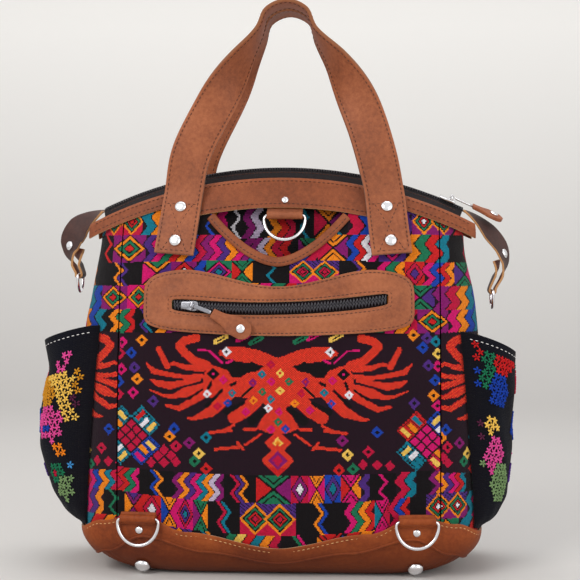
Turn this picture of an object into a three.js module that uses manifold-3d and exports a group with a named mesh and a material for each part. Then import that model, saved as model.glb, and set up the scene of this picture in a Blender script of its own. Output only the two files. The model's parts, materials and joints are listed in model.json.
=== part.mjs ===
// Zip-topped bag of brocaded cloth with leather bands, handles, base, pockets and D-rings.
// Millimetres, +Z up, front towards -Y. Z = 0 is the underside of the base.
import * as THREE from 'three';
import { mergeVertices } from 'three/addons/utils/BufferGeometryUtils.js';
import Manifold3d from 'manifold-3d';

// Body
const HALF_WIDTH = 188;
const SECTION_POWER = 5; // of the rounded rectangle that a level cut through the body gives
const MOUTH_HALF_DEPTH = 14;
const BELLY_HALF_DEPTH = 76;
const BELLY_RUN = 90; // drop below the zip over which the depth swells
const ARCH_RADIUS = 410; // of the zip's arch, seen from the front
const TOP_Z = 386; // the arch's highest point
const PANEL_HALF_WIDTH = 150; // the seam between the front and the side pieces
const CLOTH = 2;
const LEATHER = 2.4;
const CLEAR = 0.3; // between pieces that lie on each other
const GUSSET_PINCH = 14; // how far the side folds in under the shoulder
const GUSSET_PINCH_RUN = 95;

// Base
const BASE_CORNER_X = 62;
const BASE_CORNER_Y = 30;
const BASE_CORNER_Z = 44;
const LOW_RING_X = HALF_WIDTH - 60; // the base band is highest behind its rings
const BAND_TOP = [[0, 30], [85, 44], [LOW_RING_X, 60], [LOW_RING_X + 37, 52], [HALF_WIDTH, 42]];
const SEAM = [[0, 17], [70, 27], [LOW_RING_X - 3, 40], [LOW_RING_X + 37, 26], [HALF_WIDTH, 20]];
const BAND_LAP = 4.5; // cloth and base leather reach this far under the base band
const STUD_RADIUS = 7.5;
const STUD_HEIGHT = 6;
const STUD_X = HALF_WIDTH - 42;
const STUD_DIP = 52; // degrees below level that a stud looks

// Top edge
const ZIP_DROP = 14; // from the arch's crest down to the band's upper edge
const BAND_WIDTH = 28.5;
const BAND_TIP_WIDTH = 14; // beyond the handles
const TAPER_FROM_X = 80; // the band narrows from here
const TAPER_TO_X = 112; // to here
const BAND_END_X = HALF_WIDTH - 5;
const COIL_WIDTH = 6;
const COIL_HEIGHT = 1.9;
const COIL_Y = -2.3;
const TAPE = 1.2;

// Scooped slip pocket
const SCOOP_X = -1;
const SCOOP_HALF_WIDTH = 70;
const SCOOP_Z = 297;
const SCOOP_RISE = 52;
const SCOOP_POWER = 1.7;
const BINDING_WIDTH = 8;
const LINING_HALF_WIDTH = 92;
const LINING_BOTTOM_Z = 190;
const LINING_SAG = 11;
const LINING_GAP = 0.8;

// Zipped pocket on the front
const SLOT_Z = 250;
const SLOT_RADIUS = 850;
const SLOT_ARC_X = -21;
const SLOT_LEFT = -99;
const SLOT_RIGHT = 102;
const SLOT_HEIGHT = 12;
const PATCH_HALF_WIDTH = 126;
const PATCH_TOP = 35; // above the slot's middle, at the ends
const PATCH_BOTTOM = -27;
const PATCH_DIP = 17; // the waist of its upper edge

// Handles
const STRAP_WIDTH = 38;
const STRAP_THICKNESS = 3.6;
const STRAP_STEPS = 42;
const HANDLE_FOOT_X = { left: 98, right: 105 };
const HANDLE_FOOT_Z = 299;
const FOOT_LEAN = 7; // how much nearer the middle a strap leaves the bag than it ends
const HANDLE_TOP_Z = 540;
const HANDLE_NECK_X = 6;
const HANDLE_NECK_RADIUS = 27;
const HANDLE_NECK_Y = 22;
const RIVET_RADIUS = 5.5;
const RIVET_HEIGHT = 2.4;
const RIVET_LEVELS = [313, 345];

// Rings
const RING_WIRE = 3.4;
const RING_HALF_WIDTH = 20;
const RING_DROP = 25;
const TOP_RING_X = 5;
const TOP_RING_Z = 336.5;
const TOP_RING_LIFT = 3; // lets the ring lie back over the band's edge
const LOW_RING_Z = 56;
const SIDE_RING_HALF_WIDTH = 12.5;
const SIDE_RING_DROP = 17;
const LOOP_HALF_WIDTH = 17;

// Side pockets
const POCKET_TOP_FRONT_Z = 214;
const POCKET_BULGE = 40;
const POCKET_CLOTH = 2;

const leatherBrown = { color: 0xb46e4e, roughness: 0.6, metalness: 0 };
const baseBrown = { color: 0xa5582a, roughness: 0.55, metalness: 0 };
const brocade = { color: 0x8a1f4a, roughness: 0.9, metalness: 0 };
const blackCloth = { color: 0x15121c, roughness: 0.9, metalness: 0 };
const zipBlack = { color: 0x17161a, roughness: 0.7, metalness: 0 };
const nickel = { color: 0xd8d8da, roughness: 0.2, metalness: 1 };

const bag = new THREE.Group();
const V = (x, y, z) => new THREE.Vector3(x, y, z);
const rad = THREE.MathUtils.degToRad;

function add(name, geometry, look) {
  const mesh = new THREE.Mesh(geometry, new THREE.MeshStandardMaterial(look));
  mesh.name = name;
  bag.add(mesh);
  return mesh;
}

// A closed geometry from points and triangles, turned so that its faces point out.
function solidFrom(points, triangles) {
  let volume = 0;
  for (const [a, b, c] of triangles) {
    volume += points[a].dot(points[b].clone().cross(points[c]));
  }
  const index = triangles.flatMap(([a, b, c]) => (volume > 0 ? [a, b, c] : [a, c, b]));
  const geometry = new THREE.BufferGeometry();
  const numbers = points.flatMap((p) => p.toArray());
  geometry.setAttribute('position', new THREE.Float32BufferAttribute(numbers, 3));
  geometry.setIndex(index);
  geometry.computeVertexNormals();
  return geometry;
}

// Rings of points joined into a skin. An open run of rings is capped at both ends.
function loft(rings, closed = false) {
  const sides = rings[0].length;
  const points = rings.flat();
  const triangles = [];
  const spans = closed ? rings.length : rings.length - 1;
  for (let i = 0; i < spans; i++) {
    const here = i * sides;
    const next = ((i + 1) % rings.length) * sides;
    for (let j = 0; j < sides; j++) {
      const k = (j + 1) % sides;
      triangles.push([here + j, here + k, next + k], [here + j, next + k, next + j]);
    }
  }
  if (!closed) {
    const last = (rings.length - 1) * sides;
    for (let j = 1; j < sides - 1; j++) {
      triangles.push([0, j + 1, j], [last, last + j, last + j + 1]);
    }
  }
  return solidFrom(points, triangles);
}

// A sheet with thickness: at(u, v, side) gives its outer (side 1) and inner (side 0) face.
// Where around is true, u runs in a closed circuit.
function sheet(nu, nv, at, around = false) {
  const rows = around ? nu : nu + 1;
  const points = [];
  for (const side of [1, 0]) {
    for (let i = 0; i < rows; i++) {
      for (let j = 0; j <= nv; j++) {
        points.push(at(i / nu, j / nv, side));
      }
    }
  }
  const half = rows * (nv + 1);
  const id = (i, j, side) => (side ? 0 : half) + (i % rows) * (nv + 1) + j;
  const triangles = [];
  const quad = (a, b, c, d) => triangles.push([a, b, c], [a, c, d]);
  for (let i = 0; i < nu; i++) {
    for (let j = 0; j < nv; j++) {
      quad(id(i, j, 1), id(i + 1, j, 1), id(i + 1, j + 1, 1), id(i, j + 1, 1));
      quad(id(i, j + 1, 0), id(i + 1, j + 1, 0), id(i + 1, j, 0), id(i, j, 0));
    }
    quad(id(i, 0, 0), id(i + 1, 0, 0), id(i + 1, 0, 1), id(i, 0, 1));
    quad(id(i, nv, 1), id(i + 1, nv, 1), id(i + 1, nv, 0), id(i, nv, 0));
  }
  if (!around) {
    for (let j = 0; j < nv; j++) {
      quad(id(0, j, 0), id(0, j, 1), id(0, j + 1, 1), id(0, j + 1, 0));
      quad(id(nu, j + 1, 0), id(nu, j + 1, 1), id(nu, j, 1), id(nu, j, 0));
    }
  }
  return solidFrom(points, triangles);
}

const mix = (a, b, t) => a + (b - a) * t;
const ease = (t) => t * t * (3 - 2 * t);
const clamp01 = (t) => Math.min(1, Math.max(0, t));

// Height along a wavy edge, eased between [x, z] stations and alike on both ends of the bag.
function wave(stations, x) {
  const reach = Math.min(Math.abs(x), stations[stations.length - 1][0]);
  for (let i = 1; i < stations.length; i++) {
    const [x0, z0] = stations[i - 1];
    const [x1, z1] = stations[i];
    if (reach <= x1) {
      return mix(z0, z1, ease((reach - x0) / (x1 - x0)));
    }
  }
  return stations[stations.length - 1][1];
}

const archCentreZ = TOP_Z - ARCH_RADIUS;
const archZ = (x) => archCentreZ + Math.sqrt(ARCH_RADIUS ** 2 - x ** 2);
const depthBelowArch = (drop) =>
  mix(BELLY_HALF_DEPTH, MOUTH_HALF_DEPTH, Math.exp(-Math.max(drop, 0) / BELLY_RUN));
const sectionShare = (x) =>
  (1 - Math.min(1, Math.abs(x / HALF_WIDTH)) ** SECTION_POWER) ** (1 / SECTION_POWER);
// Below the corner height the walls turn under: tuck is 0 on the wall and 1 on the flat underside.
const BASE_LIFT = CLOTH - CLEAR * 0.7;
const FLOOR_Z = BASE_LIFT; // of the body's own form, inside the base leather
const dipAt = (z) => Math.asin(clamp01(1 - (z - FLOOR_Z) / BASE_CORNER_Z));
const tuck = (z) => 1 - Math.cos(dipAt(z));
const tuckedX = (z) => 1 - (BASE_CORNER_X * tuck(z)) / HALF_WIDTH;
const halfDepth = (x, z) =>
  (depthBelowArch(archZ(x) - z) - BASE_CORNER_Y * tuck(z)) * sectionShare(x / tuckedX(z));

// The body's face at x and z, lifted off it by lift along its normal. side -1 is the front, 1 the back.
function face(x, z, lift = 0, side = -1) {
  const step = 0.5;
  const dx = (halfDepth(x + step, z) - halfDepth(x - step, z)) / (2 * step);
  const dz = (halfDepth(x, z + step) - halfDepth(x, z - step)) / (2 * step);
  const normal = V(-dx, side, -dz).normalize();
  return V(x, side * halfDepth(x, z), z).addScaledVector(normal, lift);
}

// Where the level cut turns round the ends: share 0 is the front seam and 1 the back seam.
const seamAngle = Math.asin(Math.min(1, sectionShare(PANEL_HALF_WIDTH) ** (SECTION_POWER / 2)));
function levelPoint(share, end) {
  const angle = mix(-seamAngle, seamAngle, share);
  const x = HALF_WIDTH * Math.cos(angle) ** (2 / SECTION_POWER);
  const y = Math.sign(angle) * Math.abs(Math.sin(angle)) ** (2 / SECTION_POWER);
  return { x: x * end, y };
}

// A side piece of the body. The fold between front and back seams deepens towards the shoulder.
function sidePoint(share, height, end, lift) {
  const at = (s, h) => {
    const { x, y } = levelPoint(s, end);
    const floor = wave(BAND_TOP, x) - BAND_LAP;
    const roof = archZ(x) - ZIP_DROP - 8;
    const z = mix(floor, roof, h);
    const fold = Math.sin(Math.PI * s) ** 1.3 * ease(clamp01(1 - (roof - z) / GUSSET_PINCH_RUN));
    const depth = depthBelowArch(archZ(x) - z) - BASE_CORNER_Y * tuck(z);
    return V(x * tuckedX(z) - end * GUSSET_PINCH * fold, y * depth, z);
  };
  const step = 0.01;
  const s0 = Math.max(0, share - step);
  const s1 = Math.min(1, share + step);
  const h0 = Math.max(0, height - step);
  const h1 = Math.min(1, height + step);
  const across = at(s1, height).sub(at(s0, height));
  const up = at(share, h1).sub(at(share, h0));
  const normal = across.cross(up).normalize().multiplyScalar(end);
  return at(share, height).addScaledVector(normal, lift);
}

const scoopZ = (x) => SCOOP_Z + SCOOP_RISE * Math.abs((x - SCOOP_X) / SCOOP_HALF_WIDTH) ** SCOOP_POWER;
const clothTop = (x) => archZ(x) - ZIP_DROP - 8;
const taper = (x) => ease(clamp01((Math.abs(x) - TAPER_FROM_X) / (TAPER_TO_X - TAPER_FROM_X)));
const bandBottom = (x) => archZ(x) - ZIP_DROP - mix(BAND_WIDTH, BAND_TIP_WIDTH, taper(x));
const clothFloor = (x) => wave(BAND_TOP, x) - BAND_LAP;

// Steps round the front and the ends of the bag
const FRONT_STOPS = 16;
const END_STOPS = 12;

// Cloth body
const PANEL_EDGE = PANEL_HALF_WIDTH - CLEAR;
function clothFace(side, top) {
  return sheet(26, 9, (u, v, out) => {
    const x = mix(-PANEL_EDGE, PANEL_EDGE, u);
    return face(x, mix(clothFloor(x), top(x), v ** 1.2), out * CLOTH, side);
  });
}
add('front_panel', clothFace(-1, (x) => Math.min(scoopZ(x), clothTop(x))), brocade);
add('back_panel', clothFace(1, clothTop), brocade);

add('slip_pocket_lining', sheet(12, 6, (u, v, out) => {
  const x = mix(-LINING_HALF_WIDTH, LINING_HALF_WIDTH, u);
  const z = mix(LINING_BOTTOM_Z, clothTop(x), v);
  const sag = LINING_SAG * (1 - (2 * u - 1) ** 4) * Math.sin(Math.PI * v) ** 0.6;
  return face(x, z, -LINING_GAP - sag - (1 - out) * CLOTH);
}), brocade);

for (const [name, end] of [['left_gusset', -1], ['right_gusset', 1]]) {
  add(name, sheet(END_STOPS, 9, (u, v, out) => {
    const share = Math.min(0.994, Math.max(0.006, u));
    return sidePoint(share, v, end, out * CLOTH - 0.1);
  }), brocade);
}

// Leather edge of the scoop, folded over the cloth
function bindingEnd(end) {
  let x = SCOOP_X;
  while (scoopZ(x) < bandBottom(x) - CLEAR) {
    x += end * 0.25;
  }
  return x - end * 0.25;
}
const bindingEnds = [bindingEnd(-1), bindingEnd(1)];
add('scoop_binding', sheet(26, 2, (u, v, out) => {
  const x = mix(...bindingEnds, u);
  const step = 0.5;
  const slope = (scoopZ(x + step) - scoopZ(x - step)) / (2 * step);
  const fall = mix(BINDING_WIDTH, 0.5, v);
  const shift = fall * slope / Math.hypot(1, slope);
  const drop = fall / Math.hypot(1, slope);
  return face(x + shift, scoopZ(x) - drop, CLOTH + CLEAR + out * 1.4);
}), leatherBrown);

// Top bands
for (const [name, side] of [['front_top_band', -1], ['back_top_band', 1]]) {
  add(name, sheet(36, 3, (u, v, out) => {
    const x = mix(-BAND_END_X, BAND_END_X, u);
    return face(x, mix(bandBottom(x), archZ(x) - ZIP_DROP, v), CLOTH + CLEAR + out * LEATHER, side);
  }), leatherBrown);
}

// Main zip: tape and coil as one strip over the arch. It leans forward, as the photo shows.
const CREST_SHARE = 0.45;
const ZIP_END_X = HALF_WIDTH - 12;
function tapeDrop(share) {
  return share < CREST_SHARE
    ? (ZIP_DROP - 1) * ((CREST_SHARE - share) / (1 + CREST_SHARE)) ** 1.5
    : (ZIP_DROP - 1) * ((share - CREST_SHARE) / (1 - CREST_SHARE)) ** 2;
}
const zipHalfWidth = (x) => (depthBelowArch(ZIP_DROP) + 1) * sectionShare(x);
const coilShare = COIL_Y / zipHalfWidth(0);
const coilDrop = tapeDrop(coilShare);
const coilRise = tapeDrop(coilShare - 0.1) - tapeDrop(coilShare + 0.1);
const COIL_LEAN = Math.atan(coilRise / (0.2 * zipHalfWidth(0)));
add('main_zip', (() => {
  const rings = [];
  const steps = 28;
  for (let i = 0; i <= steps; i++) {
    const x = mix(-ZIP_END_X, ZIP_END_X, i / steps);
    const w = zipHalfWidth(x);
    const top = [];
    const under = [];
    const across = [-w, -w * 0.6, COIL_Y - COIL_WIDTH / 2 - 1, COIL_Y - COIL_WIDTH / 2,
      COIL_Y + COIL_WIDTH / 2, COIL_Y + COIL_WIDTH / 2 + 1, w * 0.45, w * 0.75, w];
    across.forEach((y, k) => {
      const raised = k === 3 || k === 4 ? COIL_HEIGHT : 0;
      const r = ARCH_RADIUS - tapeDrop(y / w) + raised;
      const out = V(x / ARCH_RADIUS, 0, Math.sqrt(1 - (x / ARCH_RADIUS) ** 2));
      top.push(V(0, y, archCentreZ).addScaledVector(out, r));
      under.unshift(V(0, y, archCentreZ).addScaledVector(out, r - raised - TAPE));
    });
    rings.push([...top, ...under]);
  }
  const sides = rings[0].length;
  const points = rings.flat();
  const triangles = [];
  for (let i = 0; i < steps; i++) {
    for (let j = 0; j < sides; j++) {
      const k = (j + 1) % sides;
      const a = i * sides;
      const b = a + sides;
      triangles.push([a + j, a + k, b + k], [a + j, b + k, b + j]);
    }
  }
  for (let j = 0; j < sides / 2 - 1; j++) {
    const k = sides - 1 - j;
    const e = steps * sides;
    triangles.push([0 + j, k, j + 1], [k, k - 1, j + 1]);
    triangles.push([e + j, e + j + 1, e + k], [e + k, e + j + 1, e + k - 1]);
  }
  return solidFrom(points, triangles);
})(), zipBlack);

// A frame that stands on a place: out is its normal, along its first direction in the surface.
function frameAt(origin, out, along) {
  const z = out.clone().normalize();
  const x = along.clone().addScaledVector(z, -along.dot(z)).normalize();
  const y = z.clone().cross(x);
  return new THREE.Matrix4().makeBasis(x, y, z).setPosition(origin);
}
function normalOf(at, a, b) {
  const step = 0.5;
  const across = at(a + step, b).sub(at(a - step, b));
  const up = at(a, b + step).sub(at(a, b - step));
  return across.cross(up).normalize();
}
const frontNormal = (x, z) => normalOf((a, b) => face(a, b), x, z);

// A round cap on the surface: a lathed dome whose profile starts and ends on its axis.
function cap(radius, height, segments = 10) {
  const profile = [
    new THREE.Vector2(0, 0),
    new THREE.Vector2(radius, 0),
    new THREE.Vector2(radius, height * 0.4),
    new THREE.Vector2(radius * 0.72, height * 0.86),
    new THREE.Vector2(0, height),
  ];
  return new THREE.LatheGeometry(profile, segments).rotateX(Math.PI / 2);
}
function placed(geometry, matrix) {
  const copy = geometry.clone();
  copy.deleteAttribute('uv');
  return copy.applyMatrix4(matrix);
}

// Handles: each strap is a flat ribbon that turns a quarter round on its way to the neck.
const STRAP_LIFT = CLOTH + LEATHER + 4 * CLEAR;
// Where the free legs pass: shares of the foot's X and of the rise, and the distance from the middle
const STRAP_RUN = {
  left: [[0.867, 0.065, 34], [0.643, 0.365, 28], [0.398, 0.636, 24]],
  right: [[0.867, 0.065, 34], [0.724, 0.365, 27], [0.514, 0.636, 24]],
};
const STRAP_STANDOFF = 1.6; // where the strap leaves the band's upper edge
const LEAVE_DROP = 33; // of that place below the arch's highest point
function strapCentre(side) {
  const footX = (end) => end * HANDLE_FOOT_X[end < 0 ? 'left' : 'right'];
  const lying = (end, share, off = 0) => face(
    footX(end) - end * FOOT_LEAN * share,
    mix(HANDLE_FOOT_Z, TOP_Z - LEAVE_DROP, share),
    STRAP_LIFT + STRAP_THICKNESS / 2 + off,
    side,
  );
  const leave = (end, [out, up, y]) => V(footX(end) * out, side * y, mix(TOP_Z, HANDLE_TOP_Z, up));
  const neckZ = HANDLE_TOP_Z - HANDLE_NECK_RADIUS;
  const neck = (angle) => V(
    HANDLE_NECK_X + HANDLE_NECK_RADIUS * Math.cos(rad(angle)),
    side * HANDLE_NECK_Y,
    neckZ + HANDLE_NECK_RADIUS * Math.sin(rad(angle)),
  );
  return new THREE.CatmullRomCurve3([
    lying(-1, 0),
    lying(-1, 0.55),
    lying(-1, 1, STRAP_STANDOFF),
    ...STRAP_RUN.left.map((stop) => leave(-1, stop)),
    ...[180, 135, 90, 45, 0].map(neck),
    ...STRAP_RUN.right.map((stop) => leave(1, stop)).reverse(),
    lying(1, 1, STRAP_STANDOFF),
    lying(1, 0.55),
    lying(1, 0),
  ], false, 'centripetal');
}
const TWIST_FROM_Z = TOP_Z + 32;
const TWIST_TO_Z = HANDLE_TOP_Z - 12;
const FREE_FROM_Z = TOP_Z - 28; // above it the strap leaves the bag
const FREE_BY_Z = TOP_Z + 20;
const outwardOf = (x, z, side) => frontNormal(x, z).multiply(V(1, -side, 1));
// Place and directions of the ribbon at a share of its length
function strapFrame(curve, share, side) {
  const at = curve.getPointAt(share);
  const along = curve.getTangentAt(share);
  const turn = (Math.PI / 2) * ease(clamp01((at.z - TWIST_FROM_Z) / (TWIST_TO_Z - TWIST_FROM_Z)));
  const free = ease(clamp01((at.z - FREE_FROM_Z) / (FREE_BY_Z - FREE_FROM_Z)));
  const out = outwardOf(at.x, Math.min(at.z, FREE_FROM_Z), side).lerp(V(0, side, 0), free);
  const level = out.cross(along).normalize();
  const depth = along.clone().cross(level).normalize();
  const width = level.clone().multiplyScalar(Math.cos(turn)).addScaledVector(depth, Math.sin(turn));
  return { at, along, width, thick: along.clone().cross(width).normalize() };
}
function handle(curve, side) {
  const rings = [];
  for (let i = 0; i <= STRAP_STEPS; i++) {
    const { at, width, thick } = strapFrame(curve, i / STRAP_STEPS, side);
    const w = STRAP_WIDTH / 2;
    const t = STRAP_THICKNESS / 2;
    rings.push([[-w, 0.4 * t], [-w + 1, t], [w - 1, t], [w, 0.4 * t], [w, -0.4 * t], [w - 1, -t],
      [-w + 1, -t], [-w, -0.4 * t]].map(([a, b]) =>
      at.clone().addScaledVector(width, a).addScaledVector(thick, b)));
  }
  return loft(rings);
}
// The share of the strap's length at which one of its two legs passes a height
function shareAt(curve, z, end) {
  let low = end < 0 ? 0 : 1;
  let high = 0.5;
  for (let i = 0; i < 30; i++) {
    const middle = (low + high) / 2;
    if (curve.getPointAt(middle).z < z) {
      low = middle;
    } else {
      high = middle;
    }
  }
  return low;
}
for (const [name, side] of [['front', -1], ['back', 1]]) {
  const curve = strapCentre(side);
  add(`${name}_handle`, handle(curve, side), leatherBrown);
  for (const end of [-1, 1]) {
    RIVET_LEVELS.forEach((z, level) => {
      const { at, thick } = strapFrame(curve, shareAt(curve, z, end), side);
      const out = thick.multiplyScalar(Math.sign(thick.y) * side);
      const seat = at.clone().addScaledVector(out, STRAP_THICKNESS / 2 + 2.5 * CLEAR);
      const label = `${name}_${end < 0 ? 'left' : 'right'}_${level ? 'upper' : 'lower'}_rivet`;
      add(label, placed(cap(RIVET_RADIUS, RIVET_HEIGHT), frameAt(seat, out, V(1, 0, 0))), nickel);
    });
  }
}

// Zipped pocket
const slotTilt = Math.atan((halfDepth(0, SLOT_Z - 1) - halfDepth(0, SLOT_Z + 1)) / 2);
const slotArcZ = SLOT_Z + Math.sqrt(SLOT_RADIUS ** 2 - SLOT_ARC_X ** 2);
const slotZ = (x) => slotArcZ - Math.sqrt(SLOT_RADIUS ** 2 - (x - SLOT_ARC_X) ** 2);
const PATCH_LIFT = CLOTH + CLEAR;
const PATCH_LEATHER = 2.2;
const TURNS = 56;
function slotOutline(t) {
  const angle = t * Math.PI * 2;
  const middle = (SLOT_LEFT + SLOT_RIGHT) / 2;
  const reach = (SLOT_RIGHT - SLOT_LEFT) / 2;
  const c = Math.cos(angle);
  const s = Math.sin(angle);
  const x = middle + reach * Math.sign(c) * Math.abs(c) ** 0.25;
  return { x, z: slotZ(x) + (SLOT_HEIGHT / 2) * Math.sign(s) * Math.abs(s) ** 0.25 };
}
function patchOutline(t) {
  const angle = t * Math.PI * 2;
  const c = Math.cos(angle);
  const s = Math.sin(angle);
  const x = PATCH_HALF_WIDTH * Math.sign(c) * Math.abs(c) ** 0.4;
  const waist = 1 - ease(clamp01(Math.abs(x) / 95));
  const up = PATCH_TOP - PATCH_DIP * waist;
  const down = PATCH_BOTTOM + 3 * ease(clamp01(Math.abs(x) / PATCH_HALF_WIDTH));
  const level = Math.sign(s) * Math.abs(s) ** 0.4;
  return { x, z: SLOT_Z + 2 + (level > 0 ? up : -down) * level };
}
add('pocket_surround', sheet(TURNS, 2, (u, v, out) => {
  const a = slotOutline(u);
  const b = patchOutline(u);
  return face(mix(a.x, b.x, v), mix(a.z, b.z, v), PATCH_LIFT + out * PATCH_LEATHER);
}, true), leatherBrown);

const POCKET_TAPE_TOP = PATCH_LIFT - CLEAR + 0.9;
const POCKET_COIL_TOP = PATCH_LIFT + 2.2;
add('pocket_zip', (() => {
  const steps = 30;
  const inset = 1;
  const tapeHalf = SLOT_HEIGHT / 2 - inset;
  const low = CLOTH + CLEAR;
  const rings = [];
  for (let i = 0; i <= steps; i++) {
    const x = mix(SLOT_LEFT + 5, SLOT_RIGHT - 5, i / steps);
    const z = slotZ(x);
    rings.push([
      face(x, z - tapeHalf, low), face(x, z - tapeHalf, POCKET_TAPE_TOP + 0.3),
      face(x, z - COIL_WIDTH / 2, POCKET_TAPE_TOP + 0.3), face(x, z - COIL_WIDTH / 3, POCKET_COIL_TOP),
      face(x, z + COIL_WIDTH / 3, POCKET_COIL_TOP), face(x, z + COIL_WIDTH / 2, POCKET_TAPE_TOP + 0.3),
      face(x, z + tapeHalf, POCKET_TAPE_TOP + 0.3), face(x, z + tapeHalf, low),
    ]);
  }
  return loft(rings);
})(), zipBlack);

// Level circuit round the bag: front, right end, back, left end. Each stop is { x, y } where
// y is the share of the half depth.
function circuit() {
  const stops = [];
  for (const side of [-1, 1]) {
    for (let i = 0; i < FRONT_STOPS; i++) {
      const x = -side * mix(-PANEL_HALF_WIDTH, PANEL_HALF_WIDTH, i / FRONT_STOPS);
      stops.push({ x, y: side * sectionShare(x) });
    }
    for (let i = 0; i < END_STOPS; i++) {
      const { x, y } = levelPoint(i / END_STOPS, 1);
      stops.push({ x: -side * x, y: -side * y });
    }
  }
  return stops.map(({ x, y }) => ({ x: -x, y: y }));
}
// The wall at one stop and height, with its outward normal turning down into the underside.
function wall(stop, z, lift, dip = dipAt(z)) {
  const turn = 1 - Math.cos(dip);
  const height = dip > 0 ? FLOOR_Z + BASE_CORNER_Z * (1 - Math.sin(dip)) : z;
  const a = HALF_WIDTH - BASE_CORNER_X * turn;
  const b = depthBelowArch(archZ(stop.x) - height) - BASE_CORNER_Y * turn;
  const x = (stop.x / HALF_WIDTH) * a;
  const y = stop.y * b;
  const n = SECTION_POWER - 1;
  const flat = V(
    Math.sign(x) * Math.abs(x / a) ** n / a,
    Math.sign(y) * Math.abs(y / b) ** n / b,
    0,
  ).normalize();
  const corner = BASE_CORNER_X * Math.abs(flat.x) + BASE_CORNER_Y * Math.abs(flat.y);
  const normal = flat.multiplyScalar(BASE_CORNER_Z * Math.cos(dip))
    .add(V(0, 0, -corner * Math.sin(dip))).normalize();
  return V(x, y, height).addScaledVector(normal, lift);
}
const stops = circuit();
const seamTop = (x) => wave(SEAM, x) + BAND_LAP;

add('base_band', sheet(stops.length, 3, (u, v, out) => {
  const stop = stops[Math.round(u * stops.length) % stops.length];
  const z = mix(wave(SEAM, stop.x), wave(BAND_TOP, stop.x), v);
  return wall(stop, z, CLOTH + CLEAR + out * LEATHER);
}, true), baseBrown);

// Base panel: a shallow tray whose wall turns under in one curve.
add('base_panel', (() => {
  const turns = 4;
  const outer = [];
  const inner = [];
  for (let k = 0; k <= turns; k++) {
    for (const [rings, lift] of [[outer, BASE_LIFT], [inner, BASE_LIFT - LEATHER]]) {
      rings.push(stops.map((stop) => {
        const from = dipAt(seamTop(stop.x));
        const dip = mix(from, Math.PI / 2, k / turns);
        return wall(stop, 0, lift, Math.max(dip, 1e-6));
      }));
    }
  }
  return loft([...inner.reverse(), ...outer]);
})(), baseBrown);

// Studs on the lower corners of the base, looking down and outwards
const STUD_LIFT = CLOTH + CLEAR;
for (const [label, side] of [['front', -1], ['back', 1]]) {
  for (const end of [-1, 1]) {
    const stop = { x: end * STUD_X, y: side * sectionShare(STUD_X) };
    const seat = wall(stop, 0, STUD_LIFT, rad(STUD_DIP));
    const out = wall(stop, 0, STUD_LIFT + 1, rad(STUD_DIP)).sub(seat);
    const stud = placed(cap(STUD_RADIUS, STUD_HEIGHT, 14), frameAt(seat, out, V(1, 0, 0)));
    add(`${label}_${end < 0 ? 'left' : 'right'}_stud`, stud, nickel);
  }
}

// D-ring round a bar along its first direction, hanging along -Y of its frame
function dRing(halfWidth, drop, wire) {
  const path = [];
  const arcSteps = 14;
  for (let i = 0; i <= arcSteps; i++) {
    const angle = Math.PI * (i / arcSteps);
    path.push(V(halfWidth * Math.cos(angle), -drop * Math.sin(angle) ** 0.85, 0));
  }
  path.push(V(-halfWidth * 0.5, 0, 0), V(halfWidth * 0.5, 0, 0));
  const rings = path.map((p, i) => {
    const before = path[(i + path.length - 1) % path.length];
    const after = path[(i + 1) % path.length];
    const along = after.clone().sub(before).normalize();
    const side = V(0, 0, 1).cross(along).normalize();
    return [0, 1, 2, 3, 4, 5, 6, 7].map((k) => {
      const a = (k / 8) * Math.PI * 2;
      const up = V(0, 0, (wire / 2) * Math.sin(a));
      return p.clone().addScaledVector(side, (wire / 2) * Math.cos(a)).add(up);
    });
  });
  return loft(rings, true);
}

// Leather folded round a ring's bar. In its outline x runs up the surface and y away from it.
const LOOP_LEATHER = 1.8;
const LOOP_BORE = RING_WIRE / 2 + CLEAR;
const LOOP_RADIUS = LOOP_BORE + LOOP_LEATHER;
// With a leg that runs up from the loop, between back and front
function loopWithLeg(leg, back, front) {
  const outline = new THREE.Shape();
  outline.moveTo(leg, back);
  outline.lineTo(leg, front);
  const from = Math.asin(front / LOOP_RADIUS);
  const to = Math.PI * 2 + Math.asin(back / LOOP_RADIUS);
  outline.absarc(0, 0, LOOP_RADIUS, from, to, false);
  outline.closePath();
  return outline;
}
// With a flat back that is sewn down above and below the loop
const LOOP_WING = 6;
const WING_THICKNESS = 1.6;
function loopOnWings() {
  const outline = new THREE.Shape();
  outline.moveTo(LOOP_WING, -LOOP_RADIUS);
  outline.lineTo(LOOP_WING, WING_THICKNESS - LOOP_RADIUS);
  outline.absarc(0, 0, LOOP_RADIUS, rad(-15), rad(195), false);
  outline.lineTo(-LOOP_WING, WING_THICKNESS - LOOP_RADIUS);
  outline.lineTo(-LOOP_WING, -LOOP_RADIUS);
  outline.closePath();
  return outline;
}
function barLoop(outline, halfWidth) {
  const bore = new THREE.Path();
  bore.absarc(0, 0, LOOP_BORE, 0, Math.PI * 2, true);
  outline.holes.push(bore);
  const geometry = new THREE.ExtrudeGeometry(outline, {
    depth: 2 * halfWidth, bevelEnabled: false, curveSegments: 12,
  });
  geometry.translate(0, 0, -halfWidth);
  // outline x runs up the surface, outline y away from it, depth along the bar
  const turn = new THREE.Matrix4().makeBasis(V(0, 1, 0), V(0, 0, 1), V(1, 0, 0));
  return geometry.applyMatrix4(turn);
}

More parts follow.
